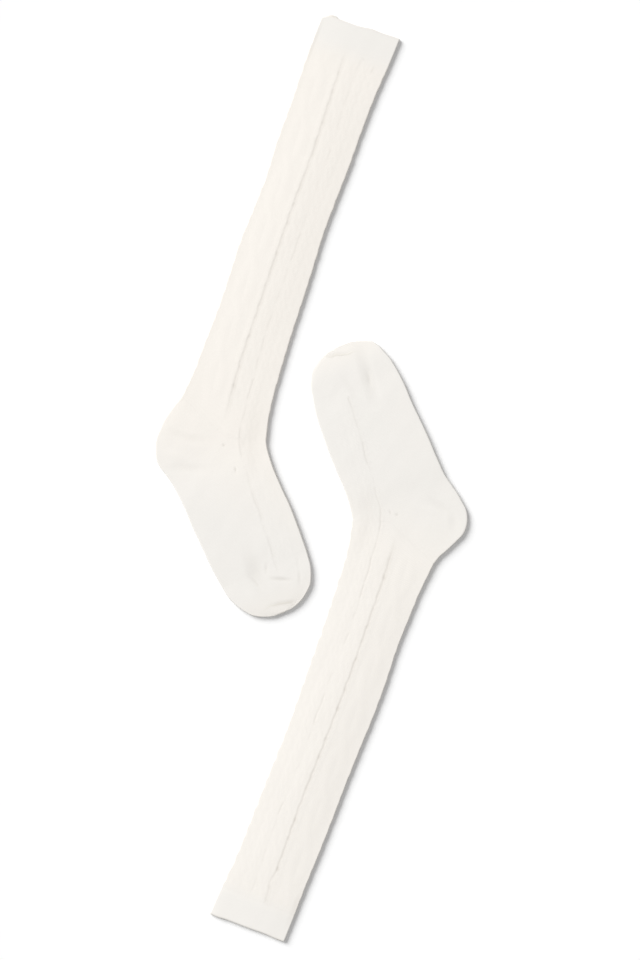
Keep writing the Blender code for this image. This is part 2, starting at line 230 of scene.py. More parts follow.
# %% Points of the foot
def foot_ways(sock):
    """The directions from the ankle to the toe and from the sole to the instep."""
    turn = math.radians(sock.foot_turn)
    toeward = np.array([math.sin(turn), math.cos(turn)])
    instepward = np.array([-math.cos(turn), math.sin(turn)])
    return toeward, instepward


def foot_point(sock, from_toe, side):
    """The tip, less the distance from the toe, plus the distance to the side."""
    toeward, instepward = foot_ways(sock)
    along = np.asarray(from_toe, float)[..., None] * toeward
    return np.array(sock.toe_tip) - along + np.asarray(side, float)[..., None] * instepward


def foot_place(sock, point):
    """The two distances that foot_point turns into this point."""
    toeward, instepward = foot_ways(sock)
    offset = point - np.array(sock.toe_tip)
    return -offset @ toeward, offset @ instepward


heel_tip = heel_edge(SOCKS[0], np.array(209.0))
print("from the toe back to the heel's tip:", round(float(foot_place(SOCKS[0], heel_tip)[0]), 1), "mm")

# %% [markdown]
# ## Gutters
# Between the cables run columns of purl stitches. They sink into the cloth and read as dark lines,
# so this knitter would call them gutters. The main one runs from the welt to the ankle. The second
# is finer, bends round the ankle and follows the foot to the toe. Their distance from the axis is
# a table like the outline's.

# %% Where the gutters run
GUTTERS = {
    "depth": [30, 42, 54, 66, 88, 120, 152, 200, 248, 296, 344, 376, 408, 440, 456],
    "main_a": [-5.7, -5.6, -5.4, -5.1, -4.5, -3.4, -2.6, -3.3, -3.0, -1.9, -0.8, -0.3, 1.2, 4.0,
               5.6],
    "main_b": [-8.2, -6.8, -5.1, -6.7, -6.4, -5.4, -4.5, -4.6, -4.5, -3.7, -2.0, -0.6, 0.6, 3.0,
               4.4],
    "second_a": [13.2, 12.6, 12.0, 12.0, 12.1, 14.2, 14.5, 14.0, 15.0, 15.2, 15.6, 17.7, 20.3,
                 22.8, 24.6],
    "second_b": [10.6, 10.4, 10.5, 11.1, 12.3, 13.2, 13.2, 12.4, 14.4, 14.8, 14.9, 16.6, 19.4,
                 22.2, 24.2],
}
FOOT_GUTTER = {
    "sock_a": {
        "across": [25.7, 29.2, 33.3, 40, 49, 56.7, 70, 83.3, 95, 108.3, 117],
        "below": [463, 475, 484, 493.5, 505.5, 516.7, 534, 550, 566, 583.3, 596],
    },
    "sock_b": {
        "across": [25.4, 28.3, 32.5, 38.3, 44.2, 50, 60, 73.3, 87.5, 102.5, 111],
        "below": [463.5, 471.7, 480, 487.5, 495.8, 505.8, 517.5, 534.2, 554.2, 571.7, 582],
    },
}
PATH_STEP = 4.0


def main_gutter(sock, depth):
    """How far across the main gutter lies, read from its table."""
    return read(GUTTERS, "depth", own(sock, "main"), depth)


def second_gutter(sock):
    """The second gutter as a line of points: the table's on the leg, then those of the foot."""
    depth = np.arange(GUTTERS["depth"][0], GUTTERS["depth"][-1], PATH_STEP)
    leg = np.stack([read(GUTTERS, "depth", own(sock, "second"), depth), -depth], axis=-1)
    foot = FOOT_GUTTER[sock.name]
    below = np.arange(foot["below"][0], foot["below"][-1], PATH_STEP)
    bend = np.stack([read(foot, "below", "across", below), -below], axis=-1)
    return np.concatenate([leg, bend])


for sock in SOCKS:
    print(sock.name, "second gutter:", len(second_gutter(sock)), "points")

# %% [markdown]
# ## Courses
# A course is one loop of the flat tube. Five things fix it: the points at its back fold, at its
# front fold and on the ridge between them, the level of its middle, and half its height. Each
# function below gives all the courses of one piece at once. A course of the leg is level at the
# welt and bends at the ankle until its back half points at the heel's apex, where the heel takes
# over; the foot starts bent in the same way and then runs straight across.

# %% Courses of the welt and the leg
Courses = namedtuple("Courses", "back middle front level half")
COURSE_TILT = 6.5
HEEL_TURN_LENGTH = 62.0


def welt_courses(sock, depth):
    """Level courses: each edge at its depth, and the ridge where the main gutter starts."""
    back = leg_edge(sock, depth, "back", -1)
    front = leg_edge(sock, depth, "front", 1)
    ridge = main_gutter(sock, np.full_like(depth, GUTTERS["depth"][0]))
    middle = np.stack([ridge, -depth], axis=-1)
    half = read(LEG, "depth", own(sock, "height"), depth) / 2
    return Courses(back, middle, front, half, half)


def leg_courses(sock, share):
    """Courses from the welt down: tilt and bend grow with the square of the bend's ease."""
    length = sock.leg_length - COURSE_TILT - WELT_DEPTH
    depth = WELT_DEPTH + share * length
    bend = ease(1 - (1 - share) * length / HEEL_TURN_LENGTH)
    grown = (bend * bend)[:, None]
    back = leg_edge(sock, depth - COURSE_TILT * bend, "back", -1)
    front = leg_edge(sock, depth + COURSE_TILT * bend, "front", 1)
    heel_start = np.full(len(share), float(HEEL["turn"][0]))
    back = back + grown * (heel_edge(sock, heel_start) - back)
    middle = np.stack([main_gutter(sock, depth), -depth], axis=-1)
    middle = middle + grown * (apex(sock) - middle)
    height = read(LEG, "depth", own(sock, "height"), depth)
    half = (height + bend * bend * (ANKLE_HEIGHT - height)) / 2
    return Courses(back, middle, front, half, half)


quarters = -np.diff(leg_courses(SOCKS[0], np.linspace(0, 1, 5)).middle[:, 1])
print("the four quarters of a leg, down its ridge:", np.round(quarters, 1), "mm")

# %% [markdown]
# ## Turning the corner
# The heel's courses spread about the apex like the ribs of a fan, from the leg's last course to
# the foot's first one. The foot starts on those same points, and its bend dies out further on.

# %% Courses of the heel and the foot
FIRST_FOOT_COURSE = 186.0
STRAIGHT_FROM_SHARE = 0.4
TOE_CAP = 50.0


def heel_courses(sock, turn):
    """A fan: each course runs from the apex out to the heel's outline."""
    middle = np.broadcast_to(apex(sock), (len(turn), 2))
    half = np.full(len(turn), ANKLE_HEIGHT / 2)
    return Courses(heel_edge(sock, turn), middle, middle + unit(turn), half, half)


def foot_courses(sock, share):
    """Courses from the ankle to the toe cap: what is left of the bend falls with its square."""
    from_toe = FIRST_FOOT_COURSE + share * (TOE_CAP - FIRST_FOOT_COURSE)
    left = np.clip(1 - share / STRAIGHT_FROM_SHARE, 0, None) ** 2
    last_turn = np.array(float(HEEL["turn"][-1]))
    ends = {
        "sole": foot_place(sock, heel_edge(sock, last_turn)),
        "instep": foot_place(sock, leg_edge(sock, np.array(sock.leg_length), "front", 1)),
        "ridge": foot_place(sock, apex(sock)),
    }
    points = {}
    for column, sign in (("sole", -1), ("instep", 1), ("ridge", 1)):
        first_at, first_side = ends[column]
        at = from_toe + left * (first_at - FIRST_FOOT_COURSE)
        read_at = from_toe if column == "ridge" else at
        start = FIRST_FOOT_COURSE if column == "ridge" else first_at
        side = read(FOOT, "from_toe", column, read_at)
        side = side + left * (sign * first_side - read(FOOT, "from_toe", column, start))
        points[column] = foot_point(sock, at, sign * side)
    height = read(FOOT, "from_toe", "height", from_toe)
    short = ANKLE_HEIGHT - read(FOOT, "from_toe", "height", FIRST_FOOT_COURSE)
    half = (height + left * short) / 2
    return Courses(points["sole"], points["ridge"], points["instep"], half, half)


across = foot_courses(SOCKS[0], np.array([1.0]))
print("flat width at the toe cap:", round(float(np.hypot(*(across.front - across.back)[0])), 1), "mm")

# %% [markdown]
# ## Closing the toe
# A toe is narrowed by a few stitches at a time until few are left. Seen from above that is a short
# taper and then half an ellipse. The inside is the same shape, drawn in by the wall's thickness.

# %% Courses of the toe
TOE_ROUND = 40.0
TOE_TAPER = 1.1
TOE_HEIGHT = 5.5
TIP_FALL, TIP_FALL_LENGTH = 1.1, 36.0
FOLD_SHARE = 0.36


def toe_courses(sock, from_toe, inset):
    """Half an ellipse beyond a short taper, drawn in by the inset. Its height falls toward the tip
    with the square of the distance, and the tip itself is rounded over."""
    widest = FOOT["sole"][0]
    round_width = widest - TOE_TAPER - inset
    beyond = np.clip((from_toe - inset) / (TOE_ROUND - inset), 0, 1)
    half_width = round_width * np.sqrt(1 - (1 - beyond) ** 2)
    taper = np.clip(from_toe - TOE_ROUND, 0, None) / (TOE_CAP - TOE_ROUND)
    half_width = half_width + (widest - inset - round_width) * taper
    ridge = FOOT["ridge"][0] * half_width / (widest - inset)
    height = TOE_HEIGHT - TIP_FALL * np.clip(1 - from_toe / TIP_FALL_LENGTH, 0, None) ** 2
    full = height / 2 - inset
    rise = np.clip((from_toe - inset) / (FOLD_SHARE * full), 0, 1)
    nearing = np.clip(1 - from_toe / TOE_CAP, 0, None) ** 2
    drawn = from_toe + sock.toe_draw * nearing
    skew = sock.toe_skew * nearing
    return Courses(
        foot_point(sock, drawn, -half_width - skew),
        foot_point(sock, drawn, ridge - skew),
        foot_point(sock, drawn, half_width - skew),
        height / 2,
        full * np.sqrt(1 - (1 - rise) ** 2),
    )


def inner(courses, wall):
    """The same courses on a wall's inner face: the folds come in, and the height shrinks."""
    back_way = courses.middle - courses.back
    front_way = courses.middle - courses.front
    wall = np.asarray(wall, float)[..., None]
    return courses._replace(
        back=courses.back + wall * back_way / np.linalg.norm(back_way, axis=-1, keepdims=True),
        front=courses.front + wall * front_way / np.linalg.norm(front_way, axis=-1, keepdims=True),
        half=courses.half - wall[..., 0],
    )


print("toe, 20 mm from its tip:", np.round(toe_courses(SOCKS[0], np.array([20.0]), 0.0).half, 2))

# %% [markdown]
# ## From a course to a loop of points
# Starting on the ridge, the points of half a course go out along the upper layer, round the fold
# and back along the lower layer. They stand closer together near the ridge, where the main gutter
# is narrow. The upper layer falls away from the ridge to both sides like a low roof, as doubled
# knitting does when its thickest column lies in the middle. Beside its points, a face keeps which
# way is out, how much of that is level and how much is up, and how near the fold each point is.

# %% Stations round a course
Ring = namedtuple("Ring", "side flat angle")
Face = namedtuple("Face", "points way level lift edge")
EDGE_POWER = 12
NEAR_SHARE = 0.1
NEAR_STEPS = 14
FAR_STEPS = 58
FOLD_STEPS = 12
LOWER_STEPS = 22
ROOF = {"depth": [0, 28, 70, 400, 470, 640], "height": [0.5, 0.6, 0.85, 0.8, 0.3, 0.2]}
ROOF_POWER = 1.8
FULL_HALF = 2.4

near = np.linspace(0, NEAR_SHARE, NEAR_STEPS, endpoint=False)
far = np.linspace(NEAR_SHARE, 1, FAR_STEPS + 1)
turned = np.linspace(90, -90, FOLD_STEPS + 1)[1:-1]
flat = np.concatenate([near, far, np.ones(len(turned)), np.linspace(1, 0, LOWER_STEPS + 1)])
upper, lower = np.full(len(near) + len(far), 90.0), np.full(LOWER_STEPS + 1, -90.0)
angle = np.concatenate([upper, turned, lower])
BACK_RING = Ring(np.full(len(flat), -1.0), flat, np.radians(angle))
WHOLE_RING = Ring(
    np.concatenate([BACK_RING.side, -BACK_RING.side[1:-1]]),
    np.concatenate([flat, flat[-2:0:-1]]),
    np.concatenate([BACK_RING.angle, BACK_RING.angle[-2:0:-1]]),
)


def roof_over(courses, flat):
    """The roof x (1 - flat^power), less where a course is closing at the toe's tip."""
    ridge = read(ROOF, "depth", "height", -courses.middle[:, 1])
    ridge = ridge * np.clip(courses.half / FULL_HALF, 0, 1)
    return ridge[:, None] * (1 - flat ** ROOF_POWER)


def lay(courses, ring):
    """Out from the ridge: flat x (reach - fold) + fold x cos(angle), where the fold is a share of
    the half height. Height: level + half x sin(angle), and over the upper layer the roof."""
    edge = np.where(ring.side[:, None] < 0, courses.back[:, None], courses.front[:, None])
    way = edge - courses.middle[:, None]
    reach = np.linalg.norm(way, axis=-1)
    way = way / np.maximum(reach, MERGE_MM)[..., None]
    half = courses.half[:, None]
    fold = FOLD_SHARE * half
    out = ring.flat * (reach - fold) + fold * np.cos(ring.angle)
    plan = courses.middle[:, None] + out[..., None] * way
    roof = roof_over(courses, ring.flat) * (ring.angle > np.radians(89))
    height = courses.level[:, None] + half * np.sin(ring.angle) + roof
    points = np.concatenate([plan, height[..., None]], axis=-1)
    lift = np.broadcast_to(np.sin(ring.angle), height.shape)
    level = np.broadcast_to(np.cos(ring.angle), height.shape)
    return Face(points, way, level, lift, np.broadcast_to(ring.flat ** EDGE_POWER, height.shape))


print("stations round a course:", len(WHOLE_RING.flat))

# %% [markdown]
# ## The pattern's relief
# Real cables are stitches crossed in front of each other, so they stand above the cloth as ropes,
# with a crossing every two centimetres or so. The relief is a height in millimetres above the
# plain face. Gutters are bells pressed in along a line, and ropes are two rounded ridges that
# swing across each other about a sine. Each is a function of where a point lies in plan, so the
# pattern runs on from one piece to the next.

# %% Distance to a line of points
def beside(path, plan):
    """For each point: the distance to the nearest stretch of a line, positive on its left, and the
    distance run along it. One stretch at a time, against all the points."""
    nearest = np.full(plan.shape[:-1], np.inf)
    side = np.zeros(plan.shape[:-1])
    along = np.zeros(plan.shape[:-1])
    run = 0.0
    for start, step in zip(path, np.diff(path, axis=0)):
        length = np.hypot(*step)
        offset = plan - start
        share = np.clip(offset @ step / length ** 2, 0, 1)
        gap = offset - share[..., None] * step
        distance = np.hypot(gap[..., 0], gap[..., 1])
        left_of = step[0] * offset[..., 1] - step[1] * offset[..., 0]
        nearer = distance < nearest
        side = np.where(nearer, np.sign(left_of) * distance, side)
        along = np.where(nearer, run + share * length, along)
        nearest = np.minimum(nearest, distance)
        run += length
    return side, along


SWAY_SHARE, STRAND_SHARE, CROSSING_RISE = 0.5, 0.62, 0.3


def rope(across, along, half_width, pitch):
    """Two bells about +sine and -sine, a crossing every pitch; the strand in front is higher."""
    turn = np.pi * along / pitch
    sway = SWAY_SHARE * half_width * np.sin(turn)
    front = CROSSING_RISE * np.cos(turn)
    first = bell(across - sway, STRAND_SHARE * half_width) * (1 + front)
    second = bell(across + sway, STRAND_SHARE * half_width) * (1 - front)
    return np.maximum(first, second)


print("a rope's height at a crossing:", float(rope(0.0, 0.0, 6.0, 20.0)))

# %% [markdown]
# ## Dashes listed one by one
# The second gutter shows as dashes, because the cables on both sides close over it in places. Each
# dash is a stretch along the gutter, from one distance to another, with its own strength.

# %% The dashes of the second gutter
DASHES = {
    "sock_a": {
        "from": [2, 24, 40, 64, 108, 144, 184, 206, 246, 274, 302, 326, 350, 374, 404, 430, 480, 500,
                 540, 554, 580],
        "to": [18, 38, 58, 86, 120, 156, 202, 238, 262, 286, 318, 342, 364, 398, 424, 462, 498, 536,
               552, 580, 594],
        "strength": [0.4, 0.2, 0.5, 0.35, 0.6, 0.25, 0.25, 0.75, 0.4, 0.4, 0.65, 0.75, 0.65, 1.0, 0.55,
                     1.15, 0.6, 0.95, 0.45, 0.85, 0.6],
    },
    "sock_b": {
        "from": [6, 40, 75, 95, 150, 184, 202, 212, 250, 297, 326, 336, 350, 368, 400, 416, 426, 452,
                 480, 494, 502, 528, 544, 566],
        "to": [22, 56, 90, 110, 158, 192, 214, 238, 262, 310, 334, 350, 366, 398, 414, 426, 452, 476,
               488, 500, 528, 546, 566, 582],
        "strength": [0.4, 0.35, 0.3, 0.75, 0.3, 0.4, 0.95, 0.65, 0.4, 0.55, 0.55, 0.3, 1.0, 1.05, 0.75,
                     0.5, 1.1, 0.7, 0.35, 0.5, 1.05, 0.35, 0.65, 1.0],
    },
}
DASH_END = 5.0


def dashes(sock, along):
    """The strongest dash here: each rises and falls over the same short length at its ends."""
    table = DASHES[sock.name]
    strength = np.zeros_like(along)
    for start, end, full in zip(table["from"], table["to"], table["strength"]):
        here = full * ease((along - start) / DASH_END + 0.5) * ease((end - along) / DASH_END + 0.5)
        strength = np.maximum(strength, here)
    return strength


for name, table in DASHES.items():
    print(name, "dashes:", len(table["from"]))

# %% [markdown]
# ## Creases and holes
# Creases are short dips in the cloth where it was handled, and at each end of the heel's turning
# the short rows leave a small hole. Each is a line in millimetres across and down from the middle
# of the welt, and most darken the colour with painted shade. A few are raised instead, where the
# cloth is pushed up between two folds.

# %% Creases and holes
Crease = namedtuple("Crease", "line half_width height shade")
CREASES = {
    "sock_a": [
        # faint dips with painted shade, where the columns end under the welt
        Crease([(29.4, -36), (28.4, -45)], 1.9, -0.05, 0.35),
        Crease([(14.0, -31), (17.5, -34)], 1.8, -0.04, 0.3),
        # a broad shallow dip with painted shade across the columns at the front of the ankle
        Crease([(36, -425), (41, -468), (54, -504)], 14, -0.1, 0.24),
        Crease([(33, -468), (37, -480)], 4.5, -0.12, 0.25),
        # a line of painted shade just inside the back's fold, below the welt's edge
        Crease([(-40.2, -4), (-40.7, -34), (-41.0, -72)], 2.6, -0.06, 0.4),
        # the holes beside the heel, with painted shade in them
        Crease([(13.4, -484.8), (15.8, -483.6)], 1.9, -0.4, 0.9),
        Crease([(34.2, -502.2), (37.2, -507.8)], 1.9, -0.3, 0.6),
        # soft folds in the heel's pocket, with painted shade in the dips
        Crease([(-48, -490), (-24, -490), (0, -485)], 7, -0.2, 0.1),
        Crease([(-34, -528), (-12, -521), (10, -514)], 7, -0.2, 0.1),
        Crease([(-46, -512), (-16, -514)], 8, 0.18, 0.0),
        # the toe's dimple, with a soft hollow about a sharper streak, both with painted shade
        Crease([(79, -583), (94, -603), (112, -625)], 13, -0.32, 0.22),
        Crease([(89.5, -610), (97, -613.2), (106, -618.5)], 3.2, -0.2, 0.4),
        # creases across the toe, with painted shade
        Crease([(112, -604.5), (123, -601.5), (134, -598)], 3.2, -0.26, 0.55),
        Crease([(102, -590), (106.2, -602)], 2.6, -0.14, 0.3),
        Crease([(132, -572), (138.5, -586)], 2.6, -0.06, 0.1),
        Crease([(139, -585), (145.2, -601)], 3.0, -0.12, 0.26),
    ],
    "sock_b": [
        # a broad shallow dip with painted shade across the columns at the front of the ankle
        Crease([(36, -425), (40, -466), (52, -500)], 13, -0.1, 0.18),
        # a line of painted shade just inside the back's fold, below the welt's edge
        Crease([(-40.4, -14), (-41.0, -34), (-41.2, -58)], 4.5, -0.05, 0.35),
        # the holes beside the heel, with painted shade in them
        Crease([(10.8, -480.6), (13.4, -479.4)], 1.9, -0.35, 0.8),
        Crease([(18.6, -477.8), (21.4, -481.8)], 1.7, -0.2, 0.5),
        # soft folds in the heel's pocket, with painted shade in the dips
        Crease([(-54, -486), (-43, -506)], 7, -0.2, 0.1),
        Crease([(-43, -503), (-17, -509)], 7, -0.22, 0.12),
        Crease([(-30, -496), (-5, -498)], 7, 0.16, 0.0),
        # the toe's dimple, with a soft hollow about a sharper streak, both with painted shade
        Crease([(78.5, -585.4), (96.5, -609.4), (116.5, -634.4)], 10, -0.42, 0.25),
        Crease([(90.5, -600), (95.5, -608.4), (100, -615.4)], 3.6, -0.22, 0.45),
        # creases across the toe, with painted shade
        Crease([(99, -581), (112, -592), (126, -602)], 6.0, -0.05, 0.1),
    ],
}
CREASE_LENGTH_SHARE = 0.7


def creases(sock, plan):
    """The sum of the sock's creases, each a bell across its line and a wider bell along it, and
    the darkest painted shade of them."""
    relief = np.zeros(plan.shape[:-1])
    shade = np.zeros(plan.shape[:-1])
    for crease in CREASES[sock.name]:
        line = np.array(crease.line, float)
        across, along = beside(line, plan)
        length = np.hypot(*np.diff(line, axis=0).T).sum()
        shape = bell(across, crease.half_width) * bell(along / length - 0.5, CREASE_LENGTH_SHARE)
        relief = relief + crease.height * shape
        shade = np.maximum(shade, crease.shade * shape)
    return relief, shade


for name, table in CREASES.items():
    print(name, "creases:", len(table))

# %% [markdown]
# ## Fades and waves
# Most of the pattern fades in and out along the sock, and nothing that a hand has laid runs quite
# even. One small table says where each thing starts to show and over what length, and another how
# high and how long each uneven wave is. The functions further on call them by name.

# %% The tables of fades and waves
SEAM_BACK = -20.0
FADES = {
    "welt's edge": (0, 18),
    "below the welt": (33, 6),
    "main is full": (50, 24),
    "main ends": (466, -50),
    "wider at the welt": (60, -20),
    "wider at the ankle": (390, 50),
    "second starts": (-2, 6),
    "second ends": (610, -20),
    "ropes at the ankle": (425, 30),
    "ropes at the toe": (560, 40),
    "scallops start": (26, 8),
    "scallops end": (440, 20),
    "foot's rim": (440, 30),
    "foot's line": (470, 30),
    "seam starts": (SEAM_BACK, 24),
    "seam bends": (-8, -12),
    "groove ends": (19, -6),
    "seam's shade ends": (12, 7),
}
SWINGS = {
    "knots": [(1.0, 19, 1)],
    "beat": [(0.16, 45, 0)],
    "ridge": [(0.2, 23, 2)],
    "beads": [(1.0, 9, 5)],
    "main strays": [(0.4, 21, 1), (0.12, 6, 0)],
    "second strays": [(0.6, 37, 0), (0.2, 9, 0)],
    "seam": [(1.0, 15, 0)],
    "waves down": [(0.08, 74, 0)],
    "waves across": [(0.03, 31, 4)],
}


def fade(name, at):
    """ease((at - start) / length): it rises from the start on, or falls to it if the length is
    below 0."""
    start, length = FADES[name]
    return ease((at - start) / length)


def swing(sock, name, along):
    """The sum of size x uneven(along) over the waves of this name; each sock starts elsewhere."""
    return sum(
        size * uneven(along, period, sock.start + start) for size, period, start in SWINGS[name]
    )


print("share of the main gutter left at a depth of 440 mm:", round(float(fade("main ends", 440)), 2))

# %% [markdown]
# ## The main gutter
# The main gutter sinks deepest, and swells and narrows with the ropes beside it. It starts a
# little lower on one sock than on the other. The cloth on its heel side stands up as a ridge with
# small beads, where the purl stitches turn.

# %% The main gutter
MAIN_FROM = {"sock_a": 37.0, "sock_b": 30.0}
MAIN_RISE, MAIN_TO = 8.0, 452.0
# the last is how strong the painted shade along the main gutter is
MAIN_DEPTH, MAIN_HALF_WIDTH, MAIN_SHADE = 0.09, 1.7, 0.7
FAINT, FULLER = 0.55, 0.45
BEAT, KNOT = 0.74, 0.6
LINE_STRENGTH = {"sock_a": 0.75, "sock_b": 1.05}
LINE_SHIFT = {"sock_a": 0.8, "sock_b": -0.7}
SHADE_HALF_WIDTH, WIDER_AT_ANKLE, WIDER_AT_WELT = 3.1, 1.2, 0.8
RIDGE_OFFSET, RIDGE_HALF_WIDTH, RIDGE_HEIGHT, RIDGE_SHARE = 4.0, 3.6, 0.07, 0.8
BEAD_OFFSET, BEAD_HALF_WIDTH, BEAD_HEIGHT = 2.1, 1.6, 0.1


def main_relief(sock, across, depth):
    """A narrow bell pressed in, with painted shade along it that is darker where it's deepest, and a
    low one raised behind it with small beads on it."""
    shown = ease((depth - MAIN_FROM[sock.name]) / MAIN_RISE + 0.5) * fade("main ends", depth)
    shown = shown * (FAINT + FULLER * fade("main is full", depth))
    knots = np.clip(swing(sock, "knots", depth), 0, 1) ** 2
    beat = shown * (BEAT + swing(sock, "beat", depth) + KNOT * knots)
    offset = across - LINE_SHIFT[sock.name] - swing(sock, "main strays", depth)
    ridge = shown * (RIDGE_SHARE + swing(sock, "ridge", depth))
    raised = RIDGE_HEIGHT * ridge * bell(offset + RIDGE_OFFSET, RIDGE_HALF_WIDTH)
    beads = shown * np.clip(swing(sock, "beads", depth), 0, 1)
    raised = raised + BEAD_HEIGHT * beads * bell(offset + BEAD_OFFSET, BEAD_HALF_WIDTH)
    beat = beat * LINE_STRENGTH[sock.name]
    relief = raised - MAIN_DEPTH * beat * bell(offset, MAIN_HALF_WIDTH)
    width = SHADE_HALF_WIDTH + WIDER_AT_ANKLE * fade("wider at the ankle", depth)
    width = width + WIDER_AT_WELT * fade("wider at the welt", depth)
    # the second value is painted shade along the gutter, wider at the ankle and the welt
    return relief, MAIN_SHADE * beat * bell(offset, width)


deep = main_relief(SOCKS[0], np.linspace(-2, 3, 51), 200.0)[0].min()
print("main gutter at a depth of 200 mm:", round(float(deep), 2), "mm")

# %% [markdown]
# ## Ropes and lattice
# Fine ropes fill the column between the gutters and the columns toward the shin, and a wide
# lattice of two thin strands covers the calf. Everything fades out under the welt, at the heel
# and before the toe, where the knitting turns plain.

# %% The second gutter, the ropes and the lattice
SECOND_DEPTH, SECOND_HALF_WIDTH, SECOND_SHADE = 0.1, 1.4, 0.3
BETWEEN_DASHES, DASH_GAIN = 0.1, 0.9
LIP_OFFSET, LIP_HALF_WIDTH, LIP_HEIGHT, LIP_PERIOD = 2.6, 2.2, 0.05, 8.0
Rope = namedtuple("Rope", "middle half_width pitch height")
LATTICE = Rope(-21.0, 13.0, 56.0, 0.08)
SHIN_ROPES = [Rope(7.5, 5.0, 14.0, 0.045), Rope(19.5, 7.0, 18.0, 0.045)]
BETWEEN_PITCH, BETWEEN_HEIGHT, BETWEEN_CLEAR = 23.0, 0.05, 2.0
WELT_SEAM, WELT_SEAM_HALF_WIDTH = 0.06, 1.8


def cable_relief(sock, plan):
    """Both gutters, the ropes between and beyond them, and the lattice behind, in one height, and
    the gutters' painted shade.
    """
    depth = -plan[..., 1]
    across = plan[..., 0] - main_gutter(sock, np.clip(depth, GUTTERS["depth"][0], MAIN_TO))
    beyond, along = beside(second_gutter(sock), plan)
    relief, shade = main_relief(sock, across, depth)

    strength = LINE_STRENGTH[sock.name] * (BETWEEN_DASHES + DASH_GAIN * dashes(sock, along))
    strength = strength * fade("second starts", along) * fade("second ends", along)
    offset = beyond - LINE_SHIFT[sock.name] - swing(sock, "second strays", along)
    relief = relief - SECOND_DEPTH * strength * bell(offset, SECOND_HALF_WIDTH)
    lip = LIP_HEIGHT * strength * bell(offset + LIP_OFFSET, LIP_HALF_WIDTH)
    relief = relief + lip * (1 + uneven(along, LIP_PERIOD, 1.0))
    # painted shade along the second gutter, as strong as its dashes
    shade = np.maximum(shade, SECOND_SHADE * strength * bell(offset, SHADE_HALF_WIDTH))

    below_welt = fade("below the welt", depth)
    leg_only = below_welt * (1 - fade("ropes at the ankle", depth))
    width = np.maximum(across - beyond, 1.0)
    between = rope(across - 0.5 * width, depth, 0.5 * width - BETWEEN_CLEAR, BETWEEN_PITCH)
    relief = relief + BETWEEN_HEIGHT * leg_only * between
    lattice = rope(across - LATTICE.middle, depth, LATTICE.half_width, LATTICE.pitch)
    relief = relief + LATTICE.height * leg_only * lattice

    to_toe = below_welt * (1 - fade("ropes at the toe", along))
    for strand in SHIN_ROPES:
        twist = rope(beyond - strand.middle, along, strand.half_width, strand.pitch)
        relief = relief + strand.height * to_toe * twist
    relief = relief - WELT_SEAM * bell(depth - WELT_DEPTH, WELT_SEAM_HALF_WIDTH)
    return relief, shade


print("crossings of the lattice on a leg:", int(SOCKS[0].leg_length / LATTICE.pitch))

# %% [markdown]
# ## The seam's groove and the cloth's own waves
# The toe's seam lies in a shallow groove that slants across the toe and bends near the sole. Under
# all of this the cloth isn't quite flat: slow waves run down it and across it.

# %% The groove and the waves
SEAM_SLANT, SEAM_GROOVE = -0.22, 0.12
GROOVE_HALF_WIDTH, GROOVE_SHADE_HALF_WIDTH, SHADE_LOST = 3.2, 4.0, 0.9
SEAM_AT = {"sock_a": 9.3, "sock_b": 10.9}
SEAM_WAVE = {"sock_a": 0.3, "sock_b": 0.8}
SEAM_BEND = {"sock_a": 4.0, "sock_b": 1.5}
SEAM_SHADE = {"sock_a": 0.5, "sock_b": 0.27}
DOWN_SLANT, ACROSS_SLANT = 0.35, 0.2


def seam_line(sock, side):
    """How far from the toe the seam lies: a slanted line with a slow wave, bent at its end."""
    wave = SEAM_WAVE[sock.name] * swing(sock, "seam", side)
    bend = SEAM_BEND[sock.name] * fade("seam bends", side)
    return SEAM_AT[sock.name] + SEAM_SLANT * side + wave - bend


def seam_groove(sock, plan):
    """The dip that the toe's linked seam lies in, which fades out toward the sole and stops short
    of the fold, and its painted shade, which runs on over the fold."""
    from_toe, side = foot_place(sock, plan)
    off = (from_toe - seam_line(sock, side)) / math.hypot(1, SEAM_SLANT)
    shown = fade("seam starts", side)
    dip = SEAM_GROOVE * shown * fade("groove ends", side) * bell(off, GROOVE_HALF_WIDTH)
    fading = 1 - SHADE_LOST * fade("seam's shade ends", side)
    return dip, SEAM_SHADE[sock.name] * shown * fading * bell(off, GROOVE_SHADE_HALF_WIDTH)


def knit(sock, plan):
    """Cables and creases together, and the slow waves of cloth that isn't quite flat, with the
    painted shade of gutters, creases and the seam's groove.
    """
    relief, shade = cable_relief(sock, plan)
    dips, dip_shade = creases(sock, plan)
    waves = swing(sock, "waves down", plan[..., 1] + DOWN_SLANT * plan[..., 0])
    waves = waves + swing(sock, "waves across", plan[..., 0] - ACROSS_SLANT * plan[..., 1])
    groove, groove_shade = seam_groove(sock, plan)
    shade = np.maximum(np.maximum(shade, dip_shade), groove_shade)
    return relief + dips + waves - groove, np.clip(shade, 0, 1)


line = foot_point(SOCKS[0], np.array([seam_line(SOCKS[0], 0.0)]), np.array([0.0]))
print("groove at the middle of the seam:", round(float(seam_groove(SOCKS[0], line)[0][0]), 2), "mm")

# %% [markdown]
# ## Folds
# At a fold the cloth bulges out level with the table, more on the side that the socks were
# smoothed toward, and the pattern scallops the outline there. On the other side the upper layer
# falls away a little and takes painted shade; the foot's folds take a thin line of painted shade.
# Here too each sock strays from the common outline in its own way.

# %% How the folds lie
SCALLOP_PERIOD = 18.0
Folds = namedtuple("Folds", "back front")
SCALLOPS = {"sock_a": Folds(0.4, 0.25), "sock_b": Folds(0.2, 0.6)}
SMOOTHED_TOWARD = -42.0
BULGE, SMOOTHED_BULGE, FULL_AT = 0.6, 1.0, 0.45
RIM_FALL = {"sock_a": 0.06, "sock_b": 0.2}
FOOT_FALL, FALL_POWER = 0.35, 1.5
